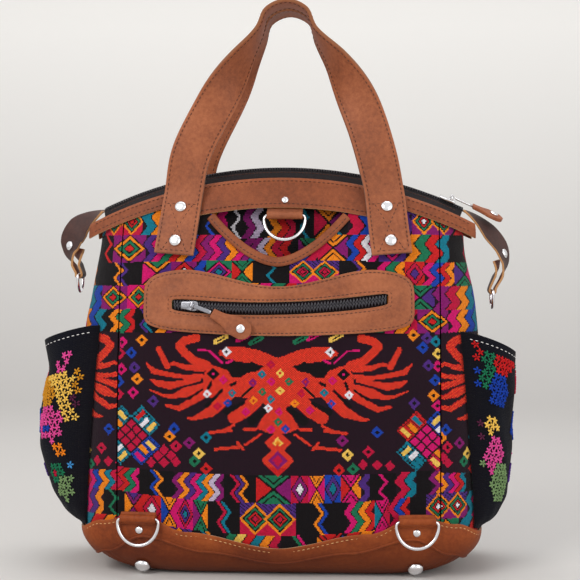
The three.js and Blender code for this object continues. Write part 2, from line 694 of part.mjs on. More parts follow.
// Top ring, in a loop whose leg runs up under the front band
const upFace = (x, z, lift) => {
  const here = face(x, z, lift);
  return frameAt(here, frontNormal(x, z), V(1, 0, 0));
};
const topRingPlace = upFace(TOP_RING_X, TOP_RING_Z, TOP_RING_LIFT);
const TOP_LEG = 14;
const topLoop = loopWithLeg(TOP_LEG, -TOP_RING_LIFT - 0.6, -TOP_RING_LIFT + LOOP_LEATHER - 0.6);
add('top_ring_loop', placed(barLoop(topLoop, LOOP_HALF_WIDTH), topRingPlace), leatherBrown);
add('top_ring', placed(dRing(RING_HALF_WIDTH, RING_DROP, RING_WIRE), topRingPlace), nickel);
const TOP_RIVET_Z = 350;
const topRivetSeat = face(TOP_RING_X, TOP_RIVET_Z, CLOTH + LEATHER + 2 * CLEAR);
const topRivetPlace = frameAt(topRivetSeat, frontNormal(TOP_RING_X, TOP_RIVET_Z), V(1, 0, 0));
add('top_ring_rivet', placed(cap(3.2, 1.6), topRivetPlace), nickel);

// Lower rings, in loops at the upper edge of the base band
const LOW_RING_LIFT = CLOTH + LEATHER + 2 * CLEAR + LOOP_RADIUS;
const lowRingPlaces = {};
for (const [label, end] of [['left', -1], ['right', 1]]) {
  const place = upFace(end * LOW_RING_X, LOW_RING_Z, LOW_RING_LIFT);
  lowRingPlaces[label] = place;
  add(`lower_${label}_ring_loop`, placed(barLoop(loopOnWings(), LOOP_HALF_WIDTH), place), baseBrown);
  add(`lower_${label}_ring`, placed(dRing(RING_HALF_WIDTH, RING_DROP, RING_WIRE), place), nickel);
  const z = LOW_RING_Z - 11;
  const seat = face(end * LOW_RING_X, z, CLOTH + LEATHER + 2 * CLEAR);
  const rivetPlace = frameAt(seat, frontNormal(end * LOW_RING_X, z), V(1, 0, 0));
  add(`lower_${label}_rivet`, placed(cap(3.4, 1.6), rivetPlace), nickel);
}

// Shoulder tabs: a strip runs off the end of the zip, down round the ring's bar and back up inside.
const TAB_THICKNESS = 2.4;
const SIDE_WIRE = 3;
const barTurn = SIDE_WIRE / 2 + CLEAR + TAB_THICKNESS / 2;
// The middle of the tape's end. The places below are [outwards, up] from it.
const zipEndTurn = Math.asin(ZIP_END_X / ARCH_RADIUS);
const zipEndRadius = ARCH_RADIUS - tapeDrop(0) - TAPE / 2;
const zipEnd = {
  x: zipEndRadius * Math.sin(zipEndTurn),
  z: archCentreZ + zipEndRadius * Math.cos(zipEndTurn),
};
const SIDE_BAR = { left: [24.6, -62.7], right: [28.6, -77.7] };
// Centre line of the strip as [outwards, up, width]
const TAB_START = [2 * CLEAR, -CLEAR, 20];
const TAB_ROUTE = {
  left: [TAB_START, [6.6, -3.1, 20], [15.6, -8.2, 24], [26, -16.5, 28],
    [33, -28, 28], [34.6, -41, 26], [31, -53.5, 19]],
  right: [TAB_START, [6.6, -3.6, 20], [15.6, -10.5, 24], [26.6, -22, 28],
    [36.6, -35, 28], [41, -50, 26], [37.8, -64.5, 19]],
};
const TAB_RETURN = {
  left: [[24.6, -52.7, 18], [25.6, -44.7, 22], [26.1, -36.7, 22]],
  right: [[29.6, -66.7, 18], [33.1, -57.7, 22], [32.6, -48.7, 22]],
};
const fromZipEnd = (end, [out, up]) => V(end * (zipEnd.x + out), 0, zipEnd.z + up);
const sideBar = { left: fromZipEnd(-1, SIDE_BAR.left), right: fromZipEnd(1, SIDE_BAR.right) };
function tabRibbon(label, end) {
  const bar = sideBar[label];
  const stop = (place) => ({ p: fromZipEnd(end, place), w: place[2] });
  const route = TAB_ROUTE[label].map(stop);
  for (const degrees of [20, -25, -70, -115, -160, -195]) {
    const angle = rad(degrees);
    const round = V(end * Math.cos(angle), 0, Math.sin(angle)).multiplyScalar(barTurn);
    route.push({ p: bar.clone().add(round), w: 18 });
  }
  route.push(...TAB_RETURN[label].map(stop));
  const rings = route.map(({ p, w }, i) => {
    const before = route[Math.max(0, i - 1)].p;
    const after = route[Math.min(route.length - 1, i + 1)].p;
    const along = after.clone().sub(before).normalize();
    const thick = along.clone().cross(V(0, 1, 0)).normalize();
    return [[-w / 2, 1], [w / 2, 1], [w / 2, -1], [-w / 2, -1]].map(([y, t]) =>
      p.clone().add(V(0, y, 0)).addScaledVector(thick, (t * TAB_THICKNESS) / 2));
  });
  return loft(rings);
}
for (const [label, end] of [['left', -1], ['right', 1]]) {
  add(`${label}_shoulder_tab`, tabRibbon(label, end), leatherBrown);
  const ringPlace = new THREE.Matrix4().makeBasis(V(0, 1, 0), V(0, 0, 1), V(1, 0, 0));
  ringPlace.setPosition(sideBar[label]);
  const ring = dRing(SIDE_RING_HALF_WIDTH, SIDE_RING_DROP, SIDE_WIRE);
  add(`${label}_shoulder_ring`, placed(ring, ringPlace), nickel);
  const above = fromZipEnd(end, TAB_ROUTE[label][4]);
  const below = fromZipEnd(end, TAB_ROUTE[label][5]);
  const middle = above.clone().lerp(below, 0.5);
  const out = V(above.z - below.z, 0, below.x - above.x).normalize();
  out.multiplyScalar(Math.sign(out.x) * end);
  const seat = middle.clone().addScaledVector(out, TAB_THICKNESS / 2 + CLEAR);
  add(`${label}_snap`, placed(cap(4.5, 2.2), frameAt(seat, out, V(0, 1, 0))), nickel);
}

// Side pockets of thick cloth, open at the top, standing off the end of the bag
const POCKET_SIDE = { left: POCKET_BULGE, right: POCKET_BULGE * 0.8 };
for (const [label, end] of [['left', -1], ['right', 1]]) {
  add(`${label}_side_pocket`, sheet(18, 9, (u, v, out) => {
    const share = mix(0.05, 0.95, u);
    const { x, y } = levelPoint(share, end);
    const floor = wave(BAND_TOP, x) + 1.2;
    const roof = POCKET_TOP_FRONT_Z + 8 * Math.abs(2 * u - 1) ** 2;
    const z = mix(floor, roof, v);
    const n = SECTION_POWER - 1;
    const b = depthBelowArch(archZ(x) - z);
    const flat = V(
      Math.sign(x) * Math.abs(x / HALF_WIDTH) ** n / HALF_WIDTH,
      Math.sign(y) * Math.abs(y) ** n / b,
      0,
    ).normalize();
    const round = Math.sin(Math.PI * u) ** 0.55;
    const swell = POCKET_SIDE[label] * round * (1 - (1 - v) ** 5) * (1 - 0.12 * Math.sin(Math.PI * v));
    return V(x, y * b, z)
      .addScaledVector(flat, CLOTH + CLEAR + out * POCKET_CLOTH)
      .add(V(end * swell, 0, 0));
  }), blackCloth);
}

// Joins two closed geometries into one solid.
const wasm = await Manifold3d();
wasm.setup();
function asManifold(geometry) {
  const bare = geometry.clone();
  for (const name of Object.keys(bare.attributes)) {
    if (name !== 'position') {
      bare.deleteAttribute(name);
    }
  }
  const merged = mergeVertices(bare, 1e-4);
  return new wasm.Manifold(new wasm.Mesh({
    numProp: 3,
    vertProperties: merged.attributes.position.array,
    triVerts: new Uint32Array(merged.index.array),
  }));
}
function joined(a, b) {
  const mesh = asManifold(a).add(asManifold(b)).getMesh();
  const geometry = new THREE.BufferGeometry();
  geometry.setAttribute('position', new THREE.BufferAttribute(new Float32Array(mesh.vertProperties), 3));
  geometry.setIndex(Array.from(mesh.triVerts));
  geometry.computeVertexNormals();
  return geometry;
}

// Zip sliders: a waisted plate with a staple across it that holds the pull
const SLIDER_LENGTH = 16;
const SLIDER_WIDTH = 9.5;
const SLIDER_PLATE = 2.4;
const STAPLE_X = 3;
const STAPLE_BAR = 1.8;
const STAPLE_SPAN = 5.8; // clear between its two legs
const PULL_BORE = 1.7;
const PULL_BARREL = 2.5;
const PULL_WIDTH = 3.6;
const PULL_THICKNESS = 1.6;
const barHeight = SLIDER_PLATE + PULL_BARREL + CLEAR;
function slider() {
  const outline = new THREE.Shape();
  const l = SLIDER_LENGTH / 2;
  const w = SLIDER_WIDTH / 2;
  outline.moveTo(-l, -w * 0.7);
  outline.quadraticCurveTo(0, -w * 0.85, l * 0.4, -w);
  outline.quadraticCurveTo(l, -w, l, -w * 0.5);
  outline.lineTo(l, w * 0.5);
  outline.quadraticCurveTo(l, w, l * 0.4, w);
  outline.quadraticCurveTo(0, w * 0.85, -l, w * 0.7);
  outline.closePath();
  const plate = new THREE.ExtrudeGeometry(outline, {
    depth: SLIDER_PLATE, bevelEnabled: false, curveSegments: 3,
  });
  // The staple's outline lies across the slider, x along its width and y up.
  const half = STAPLE_SPAN / 2;
  const outside = half + STAPLE_BAR * 0.8;
  const top = barHeight + STAPLE_BAR / 2;
  const arch = new THREE.Shape();
  arch.moveTo(-outside, SLIDER_PLATE / 2);
  arch.lineTo(-outside, top - 1);
  arch.lineTo(-outside + 1, top);
  arch.lineTo(outside - 1, top);
  arch.lineTo(outside, top - 1);
  arch.lineTo(outside, SLIDER_PLATE / 2);
  arch.lineTo(half, SLIDER_PLATE / 2);
  arch.lineTo(half, barHeight - STAPLE_BAR / 2);
  arch.lineTo(-half, barHeight - STAPLE_BAR / 2);
  arch.lineTo(-half, SLIDER_PLATE / 2);
  arch.closePath();
  const staple = new THREE.ExtrudeGeometry(arch, { depth: STAPLE_BAR, bevelEnabled: false });
  staple.translate(0, 0, STAPLE_X - STAPLE_BAR / 2);
  staple.applyMatrix4(new THREE.Matrix4().makeBasis(V(0, 1, 0), V(0, 0, 1), V(1, 0, 0)));
  return joined(plate, staple);
}
// The pull turns on the staple by a barrel. Its tongue runs along +X of the pull's frame.
function pull(length) {
  const outline = new THREE.Shape();
  const rise = PULL_THICKNESS / 2;
  const angle = Math.asin(rise / PULL_BARREL);
  outline.absarc(0, 0, PULL_BARREL, angle, Math.PI * 2 - angle, false);
  outline.lineTo(length, -rise);
  outline.lineTo(length, rise);
  outline.closePath();
  const bore = new THREE.Path();
  bore.absarc(0, 0, PULL_BORE, 0, Math.PI * 2, true);
  outline.holes.push(bore);
  const geometry = new THREE.ExtrudeGeometry(outline, {
    depth: PULL_WIDTH, bevelEnabled: false, curveSegments: 8,
  });
  geometry.translate(0, 0, -PULL_WIDTH / 2);
  return geometry.applyMatrix4(new THREE.Matrix4().makeBasis(V(1, 0, 0), V(0, 0, 1), V(0, -1, 0)));
}
// Leather tab of the pull: round at its free end, drawn in its own flat
const PULL_TAB_THICKNESS = 3.2;
function pullTab(length, width, neck) {
  const outline = new THREE.Shape();
  const r = width / 2;
  outline.moveTo(0, -neck / 2);
  outline.quadraticCurveTo(length * 0.35, -neck / 2, length * 0.5, -r);
  outline.lineTo(length - r, -r);
  outline.absarc(length - r, 0, r, -Math.PI / 2, Math.PI / 2, false);
  outline.lineTo(length * 0.5, r);
  outline.quadraticCurveTo(length * 0.35, neck / 2, 0, neck / 2);
  outline.closePath();
  const geometry = new THREE.ExtrudeGeometry(outline, {
    depth: PULL_TAB_THICKNESS, bevelEnabled: false, curveSegments: 6,
  });
  return geometry.translate(0, 0, -PULL_TAB_THICKNESS / 2);
}
const local = (x, y, z) => new THREE.Matrix4().makeTranslation(x, y, z);
// Adds a slider at its place, and its pull turned in the slider's plane and then down to it.
function sliderWithPull(name, place, { turn, lean, bend, tongue, tab, width }) {
  add(`${name}_slider`, placed(slider(), place), nickel);
  const pullPlace = place.clone().multiply(local(STAPLE_X, 0, barHeight))
    .multiply(new THREE.Matrix4().makeRotationZ(turn))
    .multiply(new THREE.Matrix4().makeRotationY(lean));
  add(`${name}_pull`, placed(pull(tongue), pullPlace), nickel);
  const reach = tongue + CLEAR + Math.abs(Math.sin(bend)) * (width / 4);
  const tabPlace = pullPlace.clone().multiply(local(reach, 0, 0))
    .multiply(new THREE.Matrix4().makeRotationZ(bend));
  add(`${name}_pull_tab`, placed(pullTab(tab, width, width / 2), tabPlace), leatherBrown);
  const rivetPlace = tabPlace.clone()
    .multiply(local(tab - width / 2 - 1, 0, PULL_TAB_THICKNESS / 2 + CLEAR));
  add(`${name}_pull_rivet`, placed(cap(4, 1.8), rivetPlace), nickel);
  return pullPlace;
}

// Pocket zip: its slider follows the circle through three places on the coil.
const POCKET_SLIDER_X = -82;
const POCKET_SLIDER_END_X = 84;
const SLIDER_GAP = 0.45;
const coilTop = (x) => face(x, slotZ(x), POCKET_COIL_TOP + SLIDER_GAP);
const runStart = coilTop(POCKET_SLIDER_X);
const runEnd = coilTop(POCKET_SLIDER_END_X);
function circleThrough(a, b, c) {
  const ab = b.clone().sub(a);
  const ac = c.clone().sub(a);
  const axis = ab.clone().cross(ac);
  const centre = axis.clone().cross(ab).multiplyScalar(ac.lengthSq())
    .add(ac.clone().cross(axis).multiplyScalar(ab.lengthSq()))
    .divideScalar(2 * axis.lengthSq())
    .add(a);
  return { centre, axis: axis.normalize() };
}
const pocketArc = circleThrough(runStart, coilTop(0), runEnd);
const pocketRun = runStart.clone().sub(pocketArc.centre).angleTo(runEnd.clone().sub(pocketArc.centre));
const runAlong = pocketArc.axis.clone().cross(runStart.clone().sub(pocketArc.centre)).normalize();
const pocketOut = frontNormal(POCKET_SLIDER_X, slotZ(POCKET_SLIDER_X));
const pocketPull = sliderWithPull('pocket', frameAt(runStart, pocketOut, runAlong), {
  turn: rad(-16), lean: rad(4), bend: rad(-8), tongue: 19, tab: 41, width: 19,
});

// Main zip, with its slider at the right end of the arch
const MAIN_SLIDER_X = ZIP_END_X - 16;
const mainSliderTurn = Math.asin(MAIN_SLIDER_X / ARCH_RADIUS);
const mainRadius = ARCH_RADIUS - coilDrop + COIL_HEIGHT + SLIDER_GAP;
const mainOut = V(Math.sin(mainSliderTurn), 0, Math.cos(mainSliderTurn));
const mainSeat = V(0, COIL_Y, archCentreZ).addScaledVector(mainOut, mainRadius);
const mainLean = mainOut.clone().multiplyScalar(Math.cos(COIL_LEAN)).add(V(0, -Math.sin(COIL_LEAN), 0));
const mainPull = sliderWithPull('main', frameAt(mainSeat, mainLean, V(1, 0, 0)), {
  turn: 0, lean: rad(4), bend: 0, tongue: 22, tab: 32, width: 18,
});

const origin = (matrix) => new THREE.Vector3().setFromMatrixPosition(matrix).toArray();
const across = (matrix) => V(0, 1, 0).transformDirection(matrix).toArray();
const barOf = (matrix) => V(1, 0, 0).transformDirection(matrix).toArray();
bag.userData.pivots = {
  topRing: origin(topRingPlace),
  topBar: barOf(topRingPlace),
  lowLeftBar: barOf(lowRingPlaces.left),
  lowRightBar: barOf(lowRingPlaces.right),
  lowLeft: origin(lowRingPlaces.left),
  lowRight: origin(lowRingPlaces.right),
  sideLeft: sideBar.left.toArray(),
  sideRight: sideBar.right.toArray(),
  pocketArc: pocketArc.centre.toArray(),
  pocketAxis: pocketArc.axis.toArray(),
  pocketRunDegrees: THREE.MathUtils.radToDeg(pocketRun),
  pocketPull: origin(pocketPull),
  pocketPullAxis: across(pocketPull),
  mainArc: [0, 0, archCentreZ],
  mainRunDegrees: THREE.MathUtils.radToDeg(2 * mainSliderTurn),
  mainPull: origin(mainPull),
  mainPullAxis: across(mainPull),
};

export default bag;
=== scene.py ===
"""Zip-topped bag of brocaded cloth with leather bands, base, handles, pockets and rings.

Lengths in the functions are millimetres, as in the part's own sizes, and become metres
where a mesh is made.
"""
import json
import math
from contextlib import contextmanager

import bmesh
import bpy
import numpy as np
from mathutils import Matrix, Vector


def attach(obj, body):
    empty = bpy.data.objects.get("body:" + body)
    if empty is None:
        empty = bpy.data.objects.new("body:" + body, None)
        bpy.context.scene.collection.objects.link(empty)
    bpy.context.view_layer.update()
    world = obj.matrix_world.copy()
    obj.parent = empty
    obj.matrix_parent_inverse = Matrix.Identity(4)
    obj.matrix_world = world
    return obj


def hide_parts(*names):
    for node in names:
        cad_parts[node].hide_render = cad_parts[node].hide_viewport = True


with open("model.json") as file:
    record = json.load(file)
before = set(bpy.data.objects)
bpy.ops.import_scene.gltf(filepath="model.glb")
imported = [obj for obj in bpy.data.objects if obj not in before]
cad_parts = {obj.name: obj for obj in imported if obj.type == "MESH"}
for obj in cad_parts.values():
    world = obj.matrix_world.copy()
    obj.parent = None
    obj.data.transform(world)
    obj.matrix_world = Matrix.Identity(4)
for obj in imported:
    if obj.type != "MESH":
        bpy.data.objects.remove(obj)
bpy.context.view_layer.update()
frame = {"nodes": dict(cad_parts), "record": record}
nodes = frame["nodes"]
MM = 0.001

# ---------------------------------------------------------------- form of the bag
HALF_WIDTH = 188
SECTION_POWER = 5
MOUTH_HALF_DEPTH = 14
BELLY_HALF_DEPTH = 76
BELLY_RUN = 90
ARCH_RADIUS = 410
TOP_Z = 386
PANEL_HALF_WIDTH = 150
CLOTH = 2
LEATHER = 2.4
CLEAR = 0.3
GUSSET_PINCH = 14
GUSSET_PINCH_RUN = 95
CORNER_X = 62
CORNER_Y = 30
CORNER_Z = 44
LOW_RING_X = HALF_WIDTH - 60
BAND_TOP = [(0, 30), (85, 44), (LOW_RING_X, 60), (LOW_RING_X + 37, 52), (HALF_WIDTH, 42)]
SEAM = [(0, 17), (70, 27), (LOW_RING_X - 3, 40), (LOW_RING_X + 37, 26), (HALF_WIDTH, 20)]
BAND_LAP = 4.5
CLOTH_TUCK = 8
ZIP_DROP = 14
BAND_WIDTH, BAND_TIP_WIDTH = 28.5, 14
TAPER_FROM_X, TAPER_TO_X = 80, 112
BAND_END = HALF_WIDTH - 5
ZIP_END = HALF_WIDTH - 12
COIL_Y = -2.3
CREST_SHARE = 0.45
SCOOP_X, SCOOP_HALF_WIDTH, SCOOP_Z, SCOOP_RISE, SCOOP_POWER = -1, 70, 297, 52, 1.7
SLOT_Z, SLOT_RADIUS, SLOT_ARC_X, SLOT_LEFT, SLOT_RIGHT, SLOT_HEIGHT = 250, 850, -21, -99, 102, 12
BASE_LIFT = CLOTH - 0.7 * CLEAR
FLOOR_Z = BASE_LIFT
arch_centre = TOP_Z - ARCH_RADIUS


def ease(t):
    return t * t * (3 - 2 * t)


def clamp01(t):
    return np.clip(t, 0, 1)


def mix(a, b, t):
    return a + (b - a) * t


def wave(stations, x):
    """Height along a wavy edge, eased between its stations."""
    reach = np.minimum(np.abs(x), stations[-1][0])
    height = np.full(np.shape(reach), float(stations[-1][1]))
    for (x0, z0), (x1, z1) in reversed(list(zip(stations, stations[1:]))):
        height = np.where(reach <= x1, mix(z0, z1, ease(clamp01((reach - x0) / (x1 - x0)))), height)
    return height


def arch_z(x):
    return arch_centre + np.sqrt(ARCH_RADIUS**2 - np.minimum(np.abs(x), 300.0) ** 2)


def depth_below_arch(drop):
    swell = BELLY_HALF_DEPTH - MOUTH_HALF_DEPTH
    return MOUTH_HALF_DEPTH + swell * (1 - np.exp(-np.maximum(drop, 0) / BELLY_RUN))


def section_share(x):
    return (1 - np.minimum(1, np.abs(x / HALF_WIDTH)) ** SECTION_POWER) ** (1 / SECTION_POWER)


def dip_at(z):
    return np.arcsin(clamp01(1 - (z - FLOOR_Z) / CORNER_Z))


def tuck(z):
    return 1 - np.cos(dip_at(z))


def half_depth(x, z):
    share = section_share(x / (1 - CORNER_X * tuck(z) / HALF_WIDTH))
    return (depth_below_arch(arch_z(x) - z) - CORNER_Y * tuck(z)) * share


def unit(v):
    return v / np.maximum(np.linalg.norm(v, axis=-1, keepdims=True), 1e-9)


def points(*columns):
    return np.stack(np.broadcast_arrays(*[np.asarray(c, float) for c in columns]), axis=-1)


def face_normal(x, z, side=-1):
    step = 0.5
    dx = half_depth(x + step, z) - half_depth(x - step, z)
    dz = half_depth(x, z + step) - half_depth(x, z - step)
    return unit(points(-dx, side * 2 * step, -dz))


def face(x, z, lift=0.0, side=-1):
    """The body's face at x and z, lifted off it along its normal."""
    place = points(x, side * half_depth(x, z), z)
    return place + face_normal(x, z, side) * np.expand_dims(np.asarray(lift, float), -1)


seam_angle = math.asin(min(1, float(section_share(PANEL_HALF_WIDTH)) ** (SECTION_POWER / 2)))


def level_point(share, end):
    angle = mix(-seam_angle, seam_angle, share)
    x = HALF_WIDTH * np.cos(angle) ** (2 / SECTION_POWER)
    y = np.sign(angle) * np.abs(np.sin(angle)) ** (2 / SECTION_POWER)
    return x * end, y


def side_form(s, h, end):
    x, y = level_point(s, end)
    roof = cloth_top(x)
    z = mix(cloth_floor(x), roof, h)
    pinch = np.clip(np.sin(np.pi * s), 0, 1) ** 1.3 * ease(clamp01(1 - (roof - z) / GUSSET_PINCH_RUN))
    depth = depth_below_arch(arch_z(x) - z) - CORNER_Y * tuck(z)
    return points(x * (1 - CORNER_X * tuck(z) / HALF_WIDTH) - end * GUSSET_PINCH * pinch, y * depth, z)


def side_point(s, h, end, lift):
    """A side piece of the body, which folds in under the shoulder."""
    step = 0.01
    across = side_form(np.minimum(1, s + step), h, end) - side_form(np.maximum(0, s - step), h, end)
    up = side_form(s, np.minimum(1, h + step), end) - side_form(s, np.maximum(0, h - step), end)
    normal = unit(np.cross(across, up)) * end
    return side_form(s, h, end) + normal * np.expand_dims(np.asarray(lift, float), -1)


def scoop_z(x):
    return SCOOP_Z + SCOOP_RISE * np.abs((x - SCOOP_X) / SCOOP_HALF_WIDTH) ** SCOOP_POWER


def band_top(x):
    return arch_z(x) - ZIP_DROP


def cloth_top(x):
    return band_top(x) - CLOTH_TUCK


def cloth_floor(x):
    return wave(BAND_TOP, x) - BAND_LAP


def band_bottom(x):
    taper = ease(clamp01((np.abs(x) - TAPER_FROM_X) / (TAPER_TO_X - TAPER_FROM_X)))
    return band_top(x) - mix(BAND_WIDTH, BAND_TIP_WIDTH, taper)


def ripple(x, z, seed, size=1.0):
    """Soft unevenness of cloth or leather, in millimetres."""
    a = np.sin(x / 31 + seed) * np.sin(z / 37 + 1.7 * seed)
    b = np.sin(x / 13 + 2.3 * seed + z / 29) * np.sin(z / 17 - x / 41 + seed)
    return size * (0.6 * a + 0.4 * b)


# ---------------------------------------------------------------- finishes
class Out:
    """A node's output that takes Python's operators, and adds its Math nodes."""

    def __init__(self, finish, socket):
        self.finish, self.socket = finish, socket

    def maths(self, operation, *values):
        return self.finish.node("ShaderNodeMath", {"operation": operation}, list(values))

    def __add__(self, other):
        return self.maths("ADD", self, other)

    def __sub__(self, other):
        return self.maths("SUBTRACT", self, other)

    def __rsub__(self, other):
        return self.maths("SUBTRACT", other, self)

    def __mul__(self, other):
        return self.maths("MULTIPLY", self, other)

    def __truediv__(self, other):
        return self.maths("DIVIDE", self, other)

    def __rtruediv__(self, other):
        return self.maths("DIVIDE", other, self)

    def __pow__(self, other):
        return self.maths("POWER", self, other)

    def __gt__(self, other):
        return self.maths("GREATER_THAN", self, other)

    def __abs__(self):
        return self.maths("ABSOLUTE", self)

    def sine(self):
        return self.maths("SINE", self)

    def fraction(self):
        return self.maths("FRACT", self)

    __radd__ = __add__
    __rmul__ = __mul__


class Nodes:
    """The nodes of a material or world, made by their type, settings and sockets."""

    def __init__(self, tree):
        self.tree = tree

    def node(self, kind, settings=None, sockets=None, out=0):
        made = self.tree.nodes.new(kind)
        for key, value in (settings or {}).items():
            if key == "stops":
                ramp = made.color_ramp.elements
                while len(ramp) < len(value):
                    ramp.new(0.5)
                for stop, (at, colour) in zip(ramp, value):
                    stop.position, stop.color = at, (*colour, 1)
            else:
                setattr(made, key, value)
        pairs = sockets.items() if isinstance(sockets, dict) else enumerate(sockets or [])
        for key, value in pairs:
            if isinstance(value, Out):
                self.tree.links.new(value.socket, made.inputs[key])
            else:
                made.inputs[key].default_value = value
        return Out(self, made.outputs[out])

    def blend(self, share, a, b, kind="MIX"):
        a, b = [(*c, 1) if isinstance(c, tuple) else c for c in (a, b)]
        settings = {"data_type": "RGBA", "blend_type": kind}
        return self.node("ShaderNodeMix", settings, {0: share, 6: a, 7: b}, 2)

    def vary(self, where, scale, detail=3.0, rough=0.55, stretch=None):
        if stretch:
            where = self.node("ShaderNodeMapping", None, {0: where, 3: stretch})
        sockets = {"Vector": where, "Scale": scale, "Detail": detail, "Roughness": rough}
        return self.node("ShaderNodeTexNoise", None, sockets)

    def attribute(self, name, out="Color"):
        return self.node("ShaderNodeAttribute", {"attribute_name": name}, None, out)

    def seen(self):
        """One where the camera looks, directly or by a mirror or glass, and none for other light."""
        camera, glossy, through = [self.node("ShaderNodeLightPath", out=f"Is {ray} Ray")
                                   for ray in ("Camera", "Glossy", "Transmission")]
        return camera + glossy + through


class Finish(Nodes):
    """A material round one Principled shader."""

    def __init__(self, name, **uniform):
        self.material = bpy.data.materials.new(name)
        self.material.use_nodes = True
        super().__init__(self.material.node_tree)
        self.shader = self.tree.nodes["Principled BSDF"]
        for socket, value in uniform.items():
            self.shader.inputs[socket.replace("_", " ")].default_value = value

    def show(self, **sockets):
        for name, value in sockets.items():
            self.tree.links.new(value.socket, self.shader.inputs[name.replace("_", " ")])

    def bump(self, height, distance, strength=1.0):
        sockets = {"Height": height, "Distance": distance, "Strength": strength}
        self.show(Normal=self.node("ShaderNodeBump", None, sockets))


def rgb(r, g, b):
    """A screen colour as linear light."""
    return tuple(c / 255 / 12.92 if c <= 10 else ((c / 255 + 0.055) / 1.055) ** 2.4 for c in (r, g, b))


def leather(name, light, mid, dark, low=None, shine=0.38):
    """Oiled leather with a fine grain, mottled and paler where it has been rubbed; where low is given, a
    painted shade darkens it toward the floor.
    """
    f = Finish(name, Specular_IOR_Level=shine)
    here = f.node("ShaderNodeTexCoord", None, None, 3)
    cloud = f.vary(here, 22, 4)
    speck = f.vary(here, 260, 3, 0.7)
    colour = f.node("ShaderNodeValToRGB", {"stops": [(0.3, dark), (0.5, mid), (0.74, light)]},
                    [cloud * 0.55 + speck * 0.45])
    streak = f.vary(here, 34, 5, 0.65, (1, 1, 4))
    colour = f.blend((streak > 0.62) * 0.1, colour, light)
    # Painted shade: where low is given, the colour goes over to low toward the floor, fully below 12 mm and
    # fading out by 50 mm.
    if low:
        height = f.node("ShaderNodeSeparateXYZ", None, [here], 2)
        shade = f.node("ShaderNodeMapRange", None, [height + cloud * 0.012, 0.012, 0.05, 1.0, 0.0])
        colour = f.blend(shade, colour, low)
    rubbed = f.attribute("rubbed", "Fac")
    colour = f.blend(rubbed * (0.25 + speck * 0.5), colour, light)
    cracks = {"feature": "DISTANCE_TO_EDGE"}
    grain = f.node("ShaderNodeTexVoronoi", cracks, {"Vector": here, "Scale": 850.0})
    pores = f.vary(here, 1500, 2, 0.6)
    f.show(Base_Color=colour, Roughness=0.5 + cloud * 0.2 - rubbed * 0.06)
    f.bump(grain * 0.7 + pores * 0.4 + speck * 0.6, 0.00022, 0.75)
    return f.material


def brocade(name, sheen=0.1):
    """Woven cloth: each cell of the grid is one float of thread in its own colour."""
    f = Finish(name, Specular_IOR_Level=0.12, Sheen_Weight=sheen, Sheen_Roughness=0.5)
    weave = f.node("ShaderNodeUVMap", {"uv_map": "weave"})
    here = f.node("ShaderNodeTexCoord", None, None, 3)
    across, up = [f.node("ShaderNodeSeparateXYZ", None, [weave], k) for k in (0, 1)]
    cell = f.node("ShaderNodeVectorMath", {"operation": "FLOOR"}, [weave])
    thread = f.node("ShaderNodeTexWhiteNoise", {"noise_dimensions": "2D"}, {"Vector": cell})
    round_up = (up.fraction() * math.pi).sine()
    round_across = (across.fraction() * math.pi).sine()
    ply = abs((across * 6.283 + up * 3.1).sine())
    # round_up makes each float lighter along its rounded middle and darker where it dips at its ends: painted
    # highlight and painted shade on the thread. The thread noise and the cloud are the threads' own random
    # tone.
    shade = 0.72 + thread * 0.3 + round_up * 0.16 - f.vary(here, 30, 3) * 0.1
    dye = f.attribute("dye")
    tone = f.node("ShaderNodeCombineXYZ", None, [shade, shade, shade])
    colour = f.node("ShaderNodeVectorMath", {"operation": "MULTIPLY"}, [dye, tone])
    f.show(Base_Color=colour, Roughness=0.78 + thread * 0.15)
    f.bump(round_up * 0.7 + round_across * 0.5 + ply * 0.2, 0.00045, 0.9)
    return f.material


def thread(name, colour, pale):
    f = Finish(name, Specular_IOR_Level=0.3, Sheen_Weight=0.2)
    here = f.node("ShaderNodeTexCoord", None, None, 3)
    ply = f.vary(here, 900, 2)
    f.show(Base_Color=f.blend(ply, colour, pale), Roughness=0.6 + ply * 0.3)
    f.bump(ply, 0.0002)
    return f.material


def nickel(name, tint, rough):
    f = Finish(name, Metallic=1.0)
    here = f.node("ShaderNodeTexCoord", None, None, 3)
    cloud = f.vary(here, 90, 4)
    hair = f.vary(here, 700, 3, 0.6, (1, 1, 6))
    dull = tuple(c * 0.86 for c in tint)
    f.show(Base_Color=f.blend(cloud, tint, dull), Roughness=rough + hair * 0.14)
    f.bump(hair, 0.00004, 0.5)
    return f.material


def zip_cloth(name, dark, pale):
    f = Finish(name, Specular_IOR_Level=0.15, Sheen_Weight=0.04)
    here = f.node("ShaderNodeTexCoord", None, None, 3)
    x, y, z = [f.node("ShaderNodeSeparateXYZ", None, [here], k) for k in range(3)]
    rib = (x * 5200).sine() * 0.5 + 0.5
    cross = ((y + z) * 4200).sine() * 0.5 + 0.5
    f.show(Base_Color=f.blend(rib * 0.4 + cross * 0.3 + f.vary(here, 60) * 0.3, dark, pale),
           Roughness=0.75 + cross * 0.15)
    f.bump(rib * 0.6 + cross * 0.4, 0.0002)
    return f.material


def nylon(name, dark, pale):
    f = Finish(name, Specular_IOR_Level=0.6, Roughness=0.35)
    here = f.node("ShaderNodeTexCoord", None, None, 3)
    f.show(Base_Color=f.blend(f.vary(here, 300), dark, pale))
    return f.material


